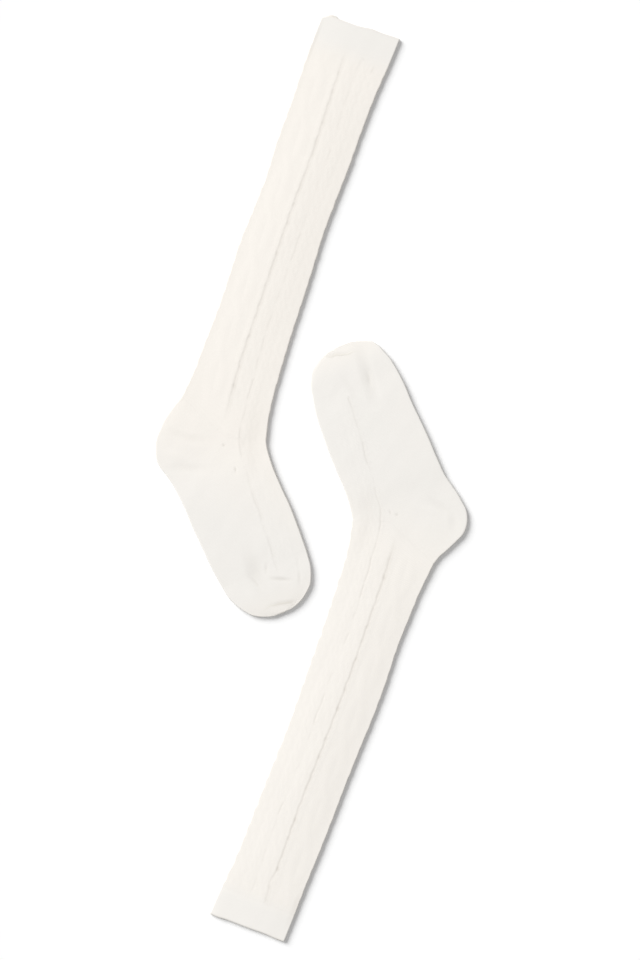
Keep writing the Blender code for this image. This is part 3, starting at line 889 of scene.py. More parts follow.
# painted shade on the folds: how much on each sock, near the edge, and in a thin line on the foot
FOLD_SHADE = {"sock_a": 1.6, "sock_b": 1.0}
SCALLOP_SHADE, TOP_SHADE, SHADED_LIFT = 0.1, 0.05, -0.5
FOOT_SHADE, FOOT_SHADE_AT, FOOT_SHADE_HALF_WIDTH = 1.1, -0.1, 0.6


def by_fold(sock, table, along, columns, at, ring):
    """The sock's own column for the back fold or the front one, read where the table reaches."""
    at = np.clip(at, 0, table[along][-1])
    back, front = (read(table, along, own(sock, column), at) for column in columns)
    return np.where(ring.side < 0, back, front)


def stray_of(sock, face, ring):
    """How far this sock's folds stray from the pair's common outline, on the leg and the foot."""
    plan = face.points[..., :2]
    from_toe, _ = foot_place(sock, plan)
    on_leg = by_fold(sock, LEG_STRAY, "depth", ("back", "front"), -plan[..., 1], ring)
    on_foot = by_fold(sock, FOOT_STRAY, "from_toe", ("sole", "instep"), from_toe, ring)
    return np.where(from_toe < FOOT_STRAY["from_toe"][-1], on_foot, on_leg)


def rim_fall(sock, face, agrees):
    """How far the upper layer falls away toward a fold on the other side: more on the foot, and
    most where the fold lies square to the way the socks were smoothed."""
    foot = fade("foot's rim", -face.points[..., 1])
    fall = RIM_FALL[sock.name] + foot * (FOOT_FALL - RIM_FALL[sock.name])
    return fall * np.clip(-agrees, 0, 1) ** FALL_POWER * face.edge * (face.lift > 0)


def folds_relief(sock, face, ring):
    """Level shifts at both folds: a bulge, which grows where the outward way agrees with the way
    the socks were smoothed down, and an uneven wave along the leg. The other fold takes painted
    shade, and the foot's folds a thin line of it."""
    depth = -face.points[..., 1]
    shown = fade("scallops start", depth) * (1 - fade("scallops end", depth))
    scallop = np.where(ring.side < 0, SCALLOPS[sock.name].back, SCALLOPS[sock.name].front)
    wave = uneven(depth, SCALLOP_PERIOD, sock.start + ring.side)
    agrees = face.way @ unit(SMOOTHED_TOWARD - sock.turn)
    shift = BULGE + SMOOTHED_BULGE * ease(agrees / FULL_AT) + shown * scallop * wave
    shift = shift + stray_of(sock, face, ring)
    # painted shade on the fold that faces away from the smoothing, strongest on its level part
    near_edge = SCALLOP_SHADE * shown * np.sqrt(face.edge) + TOP_SHADE * face.edge ** 3 + face.level
    shade = FOLD_SHADE[sock.name] * np.clip(-agrees, 0, 1) * near_edge * (face.lift > SHADED_LIFT)
    # a thin line of painted shade along the foot's folds where they lie about square to that way
    line = fade("foot's line", depth) * FOOT_SHADE * bell(agrees - FOOT_SHADE_AT, FOOT_SHADE_HALF_WIDTH)
    shade = np.maximum(shade, line * face.level)
    return (face.edge * shift)[..., None] * face.way, rim_fall(sock, face, agrees), shade


welt_band = lay(welt_courses(SOCKS[0], np.array([14.0])), WHOLE_RING)
shifts = np.linalg.norm(folds_relief(SOCKS[0], welt_band, WHOLE_RING)[0], axis=-1)
print("largest level shift on the welt:", round(float(shifts.max()), 2), "mm")

# %% [markdown]
# ## Pressing the pattern into a face
# On the upper layer the relief is a height, on a fold it pushes out sideways, and underneath the
# table holds the cloth flat, so only what is pressed in stays. The pattern on the hidden layer is
# the same one, because the knitting goes all the way round.

# %% Emboss a face
UNDER_SHARE, UNDER_FROM = 0.5, -0.02
DARKEST = 1.5


def emboss(sock, face, ring, strength=1.0):
    """Moves each point along its outward way by the relief, never below the table."""
    relief, shade = knit(sock, face.points[..., :2])
    under = face.lift < UNDER_FROM
    relief = strength * np.where(under, UNDER_SHARE * np.minimum(relief, 0), relief)
    shift, fall, fold_shade = folds_relief(sock, face, ring)
    plan = face.points[..., :2] + shift + (relief * face.level)[..., None] * face.way
    height = np.maximum(face.points[..., 2] + relief * face.lift - fall * face.lift, 0)
    moved = np.concatenate([plan, height[..., None]], axis=-1)
    # the darker of the pattern's painted shade and the folds' painted shade
    return moved, np.clip(np.maximum(shade * strength, fold_shade), 0, DARKEST)


print("darkest shade on the welt:", round(float(emboss(SOCKS[0], welt_band, WHOLE_RING)[1].max()), 2))

# %% [markdown]
# ## From grids to meshes
# Every piece is one closed skin: an outer grid, an inner grid behind it, and a rim that joins
# them. Stacking the outer rows and then the inner rows backwards makes a single grid that closes
# on itself, so one rule makes all the faces. Corners that fall on one point, at the heel's apex
# and the toe's tip, are merged afterwards.

# %% The corners of a grid's faces
def corner_numbers(rows, stations, closed_round, skip_row):
    """Each face joins a row to the next, the last row to the first, and a station to the next."""
    row = np.arange(rows)
    row = row[row != skip_row]
    station = np.arange(stations if closed_round else stations - 1)
    here, there = np.meshgrid(row, station, indexing="ij")
    after, beyond = (here + 1) % rows, there + 1
    corners = [(here, there), (here, beyond), (after, beyond), (after, there)]
    return np.stack([np.stack(corner, axis=-1) for corner in corners], axis=2).reshape(-1, 4, 2)


print("faces of a closed grid of 3 by 4 points:", len(corner_numbers(3, 4, True, -1)))

# %% [markdown]
# ## Where each sock lies
# The frame's welt has a box, and a welt made from the same tables has one too. Laying one box's
# middle on the other's places the whole sock.

# %% Find each sock's place
PLACES = {sock.name: (0.0, 0.0) for sock in SOCKS}


def place(sock, points):
    """Turns a sock's own points by its turn on the table and moves them to where it lies."""
    way = unit(sock.turn)
    turned_x = points[..., 0] * way[0] - points[..., 1] * way[1]
    turned_y = points[..., 0] * way[1] + points[..., 1] * way[0]
    shift = PLACES[sock.name]
    return np.stack([turned_x + shift[0], turned_y + shift[1], points[..., 2]], axis=-1)


for sock in SOCKS:
    band = lay(welt_courses(sock, np.linspace(0, WELT_DEPTH, 15)), WHOLE_RING).points
    laid = place(sock, band).reshape(-1, 3)
    low, high = (np.array(corner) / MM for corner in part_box(sock.name + "_welt"))
    PLACES[sock.name] = tuple(((low + high) / 2 - (laid.min(axis=0) + laid.max(axis=0)) / 2)[:2])
    print(sock.name, "lies at", np.round(PLACES[sock.name], 2), "mm")

# %% [markdown]
# ## From a skin to an object
# Arrays go into a mesh in one call for each kind of data, which is far quicker than a call for
# each point. What a material needs to know goes in with them: the stitch counts as a UV map, and
# for each point how much painted shade it takes and how much of the greyer tone.

# %% How much of the greyer tone each point takes
GREY_FROM = {"sock_a": 450.0, "sock_b": 395.0}
GREY_LENGTH = 130.0
WELT_GREY_TO, WELT_GREY_LENGTH = 18.0, 30.0
LEG_GREY = {"sock_a": 0.0, "sock_b": 0.3}
TOE_CREAM_FROM, TOE_CREAM = 36.0, 0.6


def grey_share(sock, points):
    """How much of the greyer tone a point takes: 1 on the welt and the foot, less on the leg, and a
    part of it lost toward the toe's tip."""
    depth = -points[..., 1]
    foot = ease((depth - GREY_FROM[sock.name]) / GREY_LENGTH)
    plain = np.maximum(foot, 1 - ease((depth - WELT_GREY_TO) / WELT_GREY_LENGTH))
    plain = np.maximum(plain, LEG_GREY[sock.name])
    from_toe, _ = foot_place(sock, points[..., :2])
    return plain * (1 - TOE_CREAM * ease((TOE_CREAM_FROM - from_toe) / TOE_CREAM_FROM))


for sock in SOCKS:
    half_way = np.array([0.0, -240.0, 0.0])
    print(sock.name, "plainness half way down the leg:", float(grey_share(sock, half_way)))

# %% [markdown]
# A face looks toward the side from which its corners run anticlockwise. If a grid comes out inside
# out, all its faces are turned over. Then corners that coincide are merged, and an edge with more
# or fewer than two faces counts as open.

# %% Make the object
Skin = namedtuple("Skin", "points stitches shade")
SHARP_ANGLE = 50.0


def girth(points):
    """The longest way round any of these courses."""
    closed = np.concatenate([points, points[:, :1]], axis=1)
    return np.linalg.norm(np.diff(closed, axis=1), axis=-1).sum(axis=1).max()


def knitted(sock, name, skin, closed_round=True, skip_row=-1):
    """Points in metres, stitch counts as the UV map, painted shade and the greyer tone's share as
    attributes. The sum of a . (b x c + c x d) over the faces is below 0 if they face inward, and
    then they are turned."""
    rows, stations = skin.points.shape[:2]
    corners = corner_numbers(rows, stations, closed_round, skip_row)
    index = corners[..., 0] * stations + corners[..., 1] % stations
    points = place(sock, skin.points).reshape(-1, 3) * MM
    a, b, c, d = (points[index[:, k]] for k in range(4))
    volume = np.einsum("ij,ij->", a, np.cross(b, c) + np.cross(c, d))
    if volume < 0:
        corners, index = corners[:, ::-1], index[:, ::-1]
    mesh = bpy.data.meshes.new(name)
    mesh.vertices.add(len(points))
    mesh.vertices.foreach_set("co", points.ravel())
    mesh.loops.add(index.size)
    mesh.loops.foreach_set("vertex_index", index.ravel())
    mesh.polygons.add(len(index))
    mesh.polygons.foreach_set("loop_start", np.arange(len(index)) * 4)
    stitches = skin.stitches[corners[..., 0], corners[..., 1]]
    mesh.uv_layers.new(name="stitches").data.foreach_set("uv", stitches.ravel())
    # shade is painted shade, and the other attribute is the share of the greyer tone
    for attribute, values in (("shade", skin.shade), ("plain", grey_share(sock, skin.points))):
        mesh.attributes.new(attribute, "FLOAT", "POINT").data.foreach_set("value", values.ravel())
    mesh.update(calc_edges=True)
    if closed_round:
        print(f"{name}: widest way round {girth(skin.points):.1f} mm")
    return finished(name, mesh)


def finished(name, mesh):
    """Merges corners that share a point, smooths the faces and keeps the rims sharp."""
    shell = bmesh.new()
    shell.from_mesh(mesh)
    bmesh.ops.remove_doubles(shell, verts=shell.verts, dist=MERGE_MM * MM)
    open_edges = sum(len(edge.link_faces) != 2 for edge in shell.edges)
    shell.to_mesh(mesh)
    shell.free()
    mesh.shade_smooth()
    mesh.set_sharp_from_angle(angle=math.radians(SHARP_ANGLE))
    piece = bpy.data.objects.new(name, mesh)
    bpy.context.scene.collection.objects.link(piece)
    triangles = sum(len(face.vertices) - 2 for face in mesh.polygons)
    print(f"{name}: {triangles} triangles, {open_edges} open edges")
    return piece


# %% [markdown]
# ## Stitch counts
# The pattern of single stitches follows the wales, the upright columns of knitting. A point's
# place in that pattern is a count of wales round the tube and a count of courses along it. The
# number of wales round a course is whole, so the pattern closes without a seam.

# %% Count stitches on a tube
WALE = 2.0
COURSE = 1.6


def round_counts(points):
    """The mean distance round the courses so far, scaled to a whole number of wales."""
    closed = np.concatenate([points, points[:, :1]], axis=1)
    steps = np.linalg.norm(np.diff(closed, axis=1), axis=-1).mean(axis=0)
    run = np.concatenate([[0.0], np.cumsum(steps)])
    return run / run[-1] * round(run[-1] / WALE)


def tube_stitches(points, along):
    """Wales round by courses along, for every row and for one station more than there are."""
    wales = np.broadcast_to(round_counts(points), (len(points), points.shape[1] + 1))
    courses = np.broadcast_to((along / COURSE)[:, None], wales.shape)
    return np.stack([wales, courses], axis=-1)


counts = tube_stitches(band, np.linspace(0, WELT_DEPTH, len(band)))
print("wales and courses of a welt:", np.round(counts[-1, -1], 1))

# %% [markdown]
# ## The welt
# The welt is knitted twice as long and folded in, so its upper edge is a soft roll and not a cut
# edge, and its wall is thicker than the leg's. The rows go up the outer face, over the roll as
# half a circle and down the inner face. The edge waves a little, and on one sock the lower layer
# shows beyond the upper one at the back.

# %% Make the welt
WELT_WALL = 2.3
WELT_ROWS = 24
ROLL_STEPS = 8
WELT_INNER_ROWS = 8
WELT_EDGE = {
    "across": [-44, -42, -40, -37, -34, -31, -28, -25, -20, 0, 12, 24, 36, 44],
    "sock_a": [-6.5, -5.0, -3.0, -1.2, -0.2, 0.3, 0.5, 0.4, 0.3, 0.5, 2.2, 1.8, 2.2, 2.4],
    "sock_b": [2.6, 2.8, 3.0, 3.1, 3.1, 3.0, 2.9, 2.7, 2.6, 3.2, 3.3, 3.4, 4.3, 4.0],
    "peek_a": [0, 0, 0.6, 1.6, 2.2, 2.3, 1.9, 0.3, 0, 0, 0, 0, 0, 0],
    "peek_b": [0, 0.3, 0.6, 0.7, 0.6, 0.4, 0.2, 0, 0, 0, 0, 0, 0, 0],
}
# how much painted shade the roll's edge and the peeking lower layer take
EDGE_SHADE, EDGE_SHADE_LENGTH, PEEK_SHADE = 0.8, 2.2, 0.4


def edge_wave(sock, plan, ring):
    """How far the welt's edge reaches past its mean line, and how much of that is the lower layer's
    alone."""
    near_edge = 1 - fade("welt's edge", -plan[..., 1])
    wave = read(WELT_EDGE, "across", sock.name, plan[..., 0])
    lower = 0.5 - 0.5 * np.sin(ring.angle)
    peek = near_edge * lower * read(WELT_EDGE, "across", own(sock, "peek"), plan[..., 0])
    return near_edge * wave + peek, peek


def make_welt(sock):
    """Outer rows, a half circle of radius wall/2 at the edge, and inner rows, as one loop."""
    radius = WELT_WALL / 2
    roll = np.radians(np.linspace(0, 180, ROLL_STEPS + 1)[1:-1])
    down = np.linspace(radius, WELT_DEPTH, WELT_INNER_ROWS)
    up = np.linspace(WELT_DEPTH, radius, WELT_ROWS)
    depth = np.concatenate([up, radius * (1 - np.sin(roll)), down])
    inset = np.concatenate([0 * up, radius * (1 - np.cos(roll)), np.full(len(down), WELT_WALL)])
    courses = inner(welt_courses(sock, depth), inset)
    face = lay(courses, WHOLE_RING)
    wave, peek = edge_wave(sock, face.points[..., :2], WHOLE_RING)
    face.points[..., 1] += wave
    outer_part = (1 - ease(inset / radius))[:, None]
    points, shade = emboss(sock, face, WHOLE_RING, outer_part)
    # painted shade on the roll's edge, and on the lower layer where it shows beyond the upper one
    shade = np.maximum(shade, EDGE_SHADE * (1 - ease(depth / EDGE_SHADE_LENGTH))[:, None])
    shade = np.maximum(shade, PEEK_SHADE * peek)
    stitches = tube_stitches(points, depth + inset)
    return knitted(sock, sock.name + "_welt_band", Skin(points, stitches, shade))


front = read(WELT_EDGE, "across", "sock_b", 36)
print("sock_b's welt reaches past its mean line in front:", round(float(front), 1), "mm")

# %% [markdown]
# ## The leg and the foot
# Both are tubes, made by one function: even courses for the outer face, and a lining of a few rows,
# since the inside shows nowhere. The leg is the longest piece and carries most of the pattern, so
# its grid is the finest. The foot takes over from the heel's last course, its sole is plain, and
# the columns beyond the second gutter carry on over its instep.

# %% Make a tube
WALL = 1.7
LINING_ROWS = 14
LEG_ROWS, FOOT_ROWS = 372, 118


def wall_of(outer_courses, inner_courses, ring, sock, refit=None):
    """Lays both faces, presses the pattern into the outer one, and stacks them as one loop."""
    outer = lay(outer_courses, ring)
    if refit:
        outer = refit(outer)
    points, shade = emboss(sock, outer, ring)
    lining = lay(inner_courses, ring).points[::-1]
    return np.concatenate([points, lining]), np.concatenate([shade, np.zeros(lining.shape[:2])])


def make_tube(sock, ending, courses_of, rows, length):
    """Courses at even shares of the stage from 0 to 1, and their lining."""
    share, lining_share = np.linspace(0, 1, rows), np.linspace(0, 1, LINING_ROWS)
    lining = inner(courses_of(sock, lining_share), WALL)
    points, shade = wall_of(courses_of(sock, share), lining, WHOLE_RING, sock)
    along = np.concatenate([share, lining_share[::-1]]) * length
    skin = Skin(points, tube_stitches(points, along), shade)
    return knitted(sock, sock.name + ending, skin)


def make_leg(sock):
    """The tube from the welt to the bend at the heel."""
    return make_tube(sock, "_leg_knit", leg_courses, LEG_ROWS, sock.leg_length)


def make_foot(sock):
    """The tube from the ankle to the toe cap."""
    length = FIRST_FOOT_COURSE - TOE_CAP
    return make_tube(sock, "_foot_knit", foot_courses, FOOT_ROWS, length)


print("rows of points on a leg stand", round(SOCKS[0].leg_length / LEG_ROWS, 2), "mm apart")

# %% [markdown]
# ## The heel
# Short rows make the heel: each is shorter than the last until half the pocket is done, then they
# grow again. Laid flat it is a wedge that wraps the back fold, with its courses fanned about the
# apex. The wales of its two halves meet in a mirror along the middle of the fan.

# %% Make the heel
HEEL_ROWS = 84
HEEL_INNER_ROWS = 12


def heel_stitches(points, turn):
    """Out from the apex, split into a way along the nearer border and a way square to it."""
    steps = np.linalg.norm(np.diff(points, axis=1), axis=-1)
    run = np.concatenate([np.zeros((len(points), 1)), np.cumsum(steps, axis=1)], axis=1)
    out = np.minimum(run, run[:, -1:] - run)
    first, last = HEEL["turn"][0], HEEL["turn"][-1]
    leaning = np.radians(np.minimum(turn - first, last - turn))[:, None]
    return np.stack([out * np.cos(leaning) / WALE, out * np.sin(leaning) / COURSE], axis=-1)


def make_heel(sock):
    """A fan of half courses, from the apex over the back fold and under to the apex again."""
    turn = np.linspace(HEEL["turn"][0], HEEL["turn"][-1], HEEL_ROWS)
    lining_turn = np.linspace(HEEL["turn"][0], HEEL["turn"][-1], HEEL_INNER_ROWS)
    points, shade = wall_of(
        heel_courses(sock, turn), inner(heel_courses(sock, lining_turn), WALL), BACK_RING, sock
    )
    stitches = heel_stitches(points, np.concatenate([turn, lining_turn[::-1]]))
    skin = Skin(points, stitches, shade)
    return knitted(sock, sock.name + "_heel_pocket", skin, closed_round=False)


print("the heel's fan opens by", HEEL["turn"][-1] - HEEL["turn"][0], "degrees")

# %% [markdown]
# ## The toe
# The toe cap narrows along half an ellipse and closes at its tip, inside and outside. Its courses
# stand closer toward the tip, at even turns of the ellipse.

# %% Make the toe
TOE_TURNS = 40
TOE_TIP_TURN = 1.5
TOE_CENTRE = 46.0
TOE_WAY_LENGTH = 12.0
TAPER_COURSES = 8


def toe_distances(inset):
    """The taper's courses, then 40 mm x (1 - cos(turn)) from the tip, all moved in by the inset."""
    turn = np.radians(np.linspace(90, TOE_TIP_TURN, TOE_TURNS))
    taper = np.linspace(TOE_CAP, TOE_ROUND, TAPER_COURSES + 1)[:-1]
    bare = np.concatenate([taper, TOE_ROUND * (1 - np.cos(turn)), [0.0]])
    return inset + bare * (TOE_CAP - inset) / TOE_CAP


def make_toe(sock):
    """Outer courses to the tip and inner ones back; the two tips are left unjoined."""
    distances = toe_distances(0.0)
    lining = toe_distances(WALL)
    middle = foot_point(sock, TOE_CENTRE, 0.0)
    outer = toe_courses(sock, distances, 0.0)

    def from_centre(face):
        """Level parts turn from straight across, as on the foot, to away from the cap's centre, and
        the whole face turns level where the tip closes."""
        away = face.points[..., :2] - middle
        away = away / np.linalg.norm(away, axis=-1, keepdims=True)
        turned = ease((TOE_CAP - distances) / TOE_WAY_LENGTH)[:, None, None]
        away = face.way + turned * (away - face.way)
        away = away / np.maximum(np.linalg.norm(away, axis=-1, keepdims=True), MERGE_MM)
        closing = outer.half / outer.level
        lift = face.lift * closing[:, None]
        tip = np.clip(1 - distances / TOE_CENTRE, 0, 1)[:, None] ** EDGE_POWER
        edge = 1 - (1 - face.edge) * (1 - tip)
        return face._replace(way=away, level=np.sqrt(1 - lift ** 2), lift=lift, edge=edge)

    points, shade = wall_of(outer, toe_courses(sock, lining, WALL), WHOLE_RING, sock, from_centre)
    along = FIRST_FOOT_COURSE - np.concatenate([distances, lining[::-1]])
    stitches = tube_stitches(points, along)
    skin = Skin(points, stitches, shade)
    return knitted(sock, sock.name + "_toe_cap", skin, skip_row=len(distances) - 1)


print("courses of the toe's outer face:", len(toe_distances(0.0)))

# %% [markdown]
# ## The toe's seam
# The toe is closed by linking: a machine, or a patient hand, chains the two open edges together
# loop by loop. From outside it reads as a fine ridge of small loops that lies in the groove above.

# %% Make the toe's seam
SEAM_FRONT = 17.5
SEAM_HALF_WIDTH, SEAM_HEIGHT, SEAM_SINK = 1.0, 0.06, 0.2
LOOP_LENGTH, LOOP_LOW, LOOP_GAIN = 2.3, 0.7, 0.3
SOLE_LOW, SOLE_GAIN, SOLE_SHARE = 0.3, 0.7, 0.5
FRONT_LOW, FRONT_GAIN, FRONT_SHARE = 0.4, 0.6, 0.25
END_POWER = 20
SEAM_ROWS, SEAM_STATIONS = 180, 12


def toe_height(sock, from_toe, side):
    """The upper layer's height over a place on the toe: the flat part, or else the fold."""
    shape = from_toe.shape
    courses = toe_courses(sock, from_toe.ravel(), 0.0)
    _, middle = foot_place(sock, courses.middle)
    _, back = foot_place(sock, courses.back)
    _, front = foot_place(sock, courses.front)
    off = side.ravel() - middle
    half = courses.half
    flat_reach = np.where(off < 0, middle - back, front - middle) - FOLD_SHARE * half
    out = np.abs(off)
    flat_out = np.clip(out / np.maximum(flat_reach, MERGE_MM), 0, 1)
    fold = np.clip((out - flat_reach) / np.maximum(FOLD_SHARE * half, MERGE_MM), 0, 1)
    roof = roof_over(courses, flat_out[:, None])[:, 0]
    return (courses.level + half * np.sqrt(1 - fold ** 2) + roof).reshape(shape)


def make_seam(sock):
    """A bead about the seam's line whose width and height pulse once a loop, pinched at its ends."""
    share = np.linspace(0, 1, SEAM_ROWS)[:, None]
    round_it = np.linspace(0, 2 * np.pi, SEAM_STATIONS + 1)[None, :-1]
    side = SEAM_BACK + share * (SEAM_FRONT - SEAM_BACK)
    pulse = LOOP_LOW + LOOP_GAIN * np.abs(np.sin(np.pi * side / LOOP_LENGTH))
    pulse = pulse * (SOLE_LOW + SOLE_GAIN * ease(share / SOLE_SHARE))
    pulse = pulse * (FRONT_LOW + FRONT_GAIN * ease((1 - share) / FRONT_SHARE))
    ends = np.sqrt(np.clip(1 - (2 * share - 1) ** END_POWER, 0, 1))
    across = SEAM_HALF_WIDTH * pulse * ends * np.cos(round_it)
    from_toe = seam_line(sock, side) + across
    side = side + 0 * across
    plan = foot_point(sock, from_toe, side)
    relief = knit(sock, plan)[0]
    top = toe_height(sock, from_toe, side) + relief
    lift = np.where(np.sin(round_it) > 0, SEAM_HEIGHT, SEAM_SINK) * np.sin(round_it)
    height = top + pulse * ends * lift
    points = np.concatenate([plan, height[..., None]], axis=-1)
    stitches = tube_stitches(points, share[:, 0] * (SEAM_FRONT - SEAM_BACK))
    # the seam takes the painted shade of its groove
    skin = Skin(points, stitches, seam_groove(sock, plan)[1])
    return knitted(sock, sock.name + "_toe_linking", skin, skip_row=SEAM_ROWS - 1)


print("loops along the seam:", round((SEAM_FRONT - SEAM_BACK) / LOOP_LENGTH))

# %% [markdown]
# ## Colours and nodes
# A colour is easiest to write the way a paint card gives it, as six hex digits. Those are encoded
# for a screen, so they're turned into the linear light that a renderer works in.

# %% Colour and node helpers
def colour(code):
    """sRGB hex to linear: v/12.92 below 0.04045, else ((v + 0.055) / 1.055) to the power 2.4."""
    screen = np.array([int(code[i:i + 2], 16) for i in (1, 3, 5)]) / 255
    linear = np.where(screen < 0.04045, screen / 12.92, ((screen + 0.055) / 1.055) ** 2.4)
    return (*linear.tolist(), 1.0)


def add(tree, kind, inputs, **settings):
    """Adds a node, applies its settings, and for each input links a socket or sets a value."""
    node = tree.nodes.new(kind)
    for name, value in settings.items():
        setattr(node, name, value)
    for socket, value in inputs.items():
        if isinstance(value, bpy.types.NodeSocket):
            tree.links.new(value, node.inputs[socket])
        else:
            node.inputs[socket].default_value = value
    return node


def maths(tree, operation, *values):
    """The result of one node of arithmetic on these values."""
    return add(tree, "ShaderNodeMath", dict(enumerate(values)), operation=operation).outputs[0]


def blend(tree, share, first, second):
    """The first colour, with this share of the second."""
    inputs = {0: share, 6: first, 7: second}
    return add(tree, "ShaderNodeMix", inputs, data_type="RGBA").outputs[2]


print("undyed yarn in linear light:", np.round(colour("#F8F3EC"), 3))

# %% [markdown]
# ## Single stitches
# Each knit stitch shows as a V, because both legs of the loop slant in toward its foot. The UV map
# counts wales across and courses along, so one stitch is one square of it. The stitches here are
# 2 mm wide and 1.6 mm high, coarser than the real ones of about 1.4 x 1.1 mm, so that they can be
# made out. They're too small to model, so they only tilt the light, as a bump.

# %% The height of a stitch
SLANT_COURSES = 1.1


def stitches_of(tree):
    """sin(2 pi a) x sin(pi f), where a is the distance from the wale's middle and f the share of
    the course passed, counted later the further out."""
    counts = add(tree, "ShaderNodeUVMap", {}, uv_map="stitches").outputs["UV"]
    parts = add(tree, "ShaderNodeSeparateXYZ", {"Vector": counts}).outputs
    centred = maths(tree, "SUBTRACT", maths(tree, "FRACT", parts["X"]), 0.5)
    apart = maths(tree, "ABSOLUTE", centred)
    leg = maths(tree, "SINE", maths(tree, "MULTIPLY", apart, 2 * math.pi))
    slanted = maths(tree, "MULTIPLY_ADD", apart, SLANT_COURSES, parts["Y"])
    half_turn = maths(tree, "MULTIPLY", maths(tree, "FRACT", slanted), math.pi)
    return maths(tree, "MULTIPLY", leg, maths(tree, "SINE", half_turn))


print("a stitch's legs lean by", SLANT_COURSES / 2, "of a course")

# %% [markdown]
# ## The yarn's finish
# All four finishes are the same undyed yarn, the seam's a little darker. Yarn is a rough bundle of
# fibres, so it's matt, with a faint sheen where the fuzz catches light edge on. The shade attribute
# mixes painted shade into its colour: in gutters, creases and holes, where fibres block the light
# from each other, along some folds and edges, and on the seam. A second attribute mixes in a
# greyer tone, and a slow noise keeps a large face from looking like paint.

# %% Make the yarn materials
# the darker tone that painted shade mixes in, and how much of it at full shade
PAINTED_SHADE_TONE, PAINTED_SHADE_SHARE = "#A2998A", 0.3
# the greyer tone that the welt, the foot and parts of the leg take
GREY_TONE = "#F3F0EB"
CLOUD_SIZE, CLOUD_STRENGTH = 45.0, 0.03


def yarn(name, tone, stitch_depth):
    """Tone, greyer tone, painted shade and a faint noise, under a bump of single stitches."""
    material = bpy.data.materials.new(name)
    material.use_nodes = True
    tree = material.node_tree
    tree.nodes.clear()
    shade = add(tree, "ShaderNodeAttribute", {}, attribute_name="shade").outputs["Fac"]
    plain = add(tree, "ShaderNodeAttribute", {}, attribute_name="plain").outputs["Fac"]
    base = blend(tree, plain, colour(tone), colour(GREY_TONE))
    # painted shade: the shade attribute mixes the colour toward the darker tone
    with_painted_shade = blend(tree, maths(tree, "MULTIPLY", shade, PAINTED_SHADE_SHARE), base, colour(PAINTED_SHADE_TONE))
    place_on = add(tree, "ShaderNodeTexCoord", {}).outputs["Object"]
    grain = {"Vector": place_on, "Scale": CLOUD_SIZE, "Detail": 3.0, "Roughness": 0.6}
    cloud = add(tree, "ShaderNodeTexNoise", grain).outputs["Fac"]
    faint = maths(tree, "MULTIPLY_ADD", cloud, CLOUD_STRENGTH, 1 - CLOUD_STRENGTH / 2)
    toned = add(
        tree, "ShaderNodeVectorMath", {0: with_painted_shade, "Scale": faint}, operation="SCALE"
    ).outputs[0]
    raised = {"Height": stitches_of(tree), "Strength": 1.0, "Distance": stitch_depth * MM}
    bump = add(tree, "ShaderNodeBump", raised).outputs["Normal"]
    surface = add(
        tree,
        "ShaderNodeBsdfPrincipled",
        {"Base Color": toned, "Normal": bump, "Roughness": 0.9, "Sheen Weight": 0.15,
         "Sheen Roughness": 0.5, "Specular IOR Level": 0.15},
    ).outputs["BSDF"]
    add(tree, "ShaderNodeOutputMaterial", {"Surface": surface})
    return material


# undyed yarn, in a plain doubled band
WELT_YARN = yarn("undyed yarn, doubled welt", "#F8F3EC", 0.03)
# the same yarn, in cables
CABLE_YARN = yarn("undyed yarn, cable knit", "#F8F3EC", 0.07)
# the same yarn, in stocking stitch
PLAIN_YARN = yarn("undyed yarn, stocking stitch", "#F8F3EC", 0.07)
# the same yarn, in a chain of loops, a little darker and yellower: partly painted shade of its groove
SEAM_YARN = yarn("undyed yarn, linked seam", "#F4EFE4", 0.02)
print("yarn materials:", len(bpy.data.materials))

# %% [markdown]
# ## The cut of each sheet
# A sock isn't cut from flat cloth, but each of its stages has a flat size all the same: the way
# round the tube by its length. Where a stage isn't a rectangle, its area is stated as well.

# %% The cuts
Cut = namedtuple("Cut", "slot yarn width length area")
CUTS = {
    "welt": Cut("welt_knit", WELT_YARN, 0.175, 0.029, None),
    "leg": Cut("cable_knit", CABLE_YARN, 0.205, 0.436, 0.0745),
    "heel": Cut("plain_knit", PLAIN_YARN, 0.160, 0.092, 0.0088),
    "foot": Cut("cable_knit", CABLE_YARN, 0.228, 0.136, 0.0275),
    "toe": Cut("plain_knit", PLAIN_YARN, 0.201, 0.052, 0.0084),
}
FLOOR_NAME = "table_top"


def claim(piece, node, finish):
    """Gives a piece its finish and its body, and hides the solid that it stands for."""
    piece.data.materials.append(finish)
    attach(piece, "root")
    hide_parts(node)


def declare(sock, stage, piece):
    """Claims a stage's solid, with the finish of its cut."""
    cut = CUTS[stage]
    claim(piece, f"{sock.name}_{stage}", cut.yarn)


for stage, cut in CUTS.items():
    print(stage, "laid flat:", cut.width, "by", cut.length, "m")

# %% [markdown]
# ## The table top
# The socks lie on a white table. Cloth takes light from it, so to the socks it's a pale matt
# surface like any other. The camera sees it a little brighter than that, so that it comes out
# white where nothing shades it and keeps the socks' shadow.

# %% Make the table top
TABLE_HALF = 3.0
TABLE_BELOW_MM = 0.05
TABLE_GLOW = 0.01


def seen_directly(tree):
    """1 for a ray from the camera, or one that a gloss or a clear body passed on, else 0."""
    path = add(tree, "ShaderNodeLightPath", {})
    direct = path.outputs["Is Camera Ray"]
    for kind in ("Is Glossy Ray", "Is Transmission Ray"):
        direct = maths(tree, "MAXIMUM", direct, path.outputs[kind])
    return direct


half = TABLE_HALF
table_mesh = bpy.data.meshes.new(FLOOR_NAME)
level = -TABLE_BELOW_MM * MM
corners = [(-half, -half, level), (half, -half, level), (half, half, level), (-half, half, level)]
table_mesh.from_pydata(corners, [], [(0, 1, 2, 3)])
table_top = bpy.data.objects.new(FLOOR_NAME, table_mesh)
bpy.context.scene.collection.objects.link(table_top)

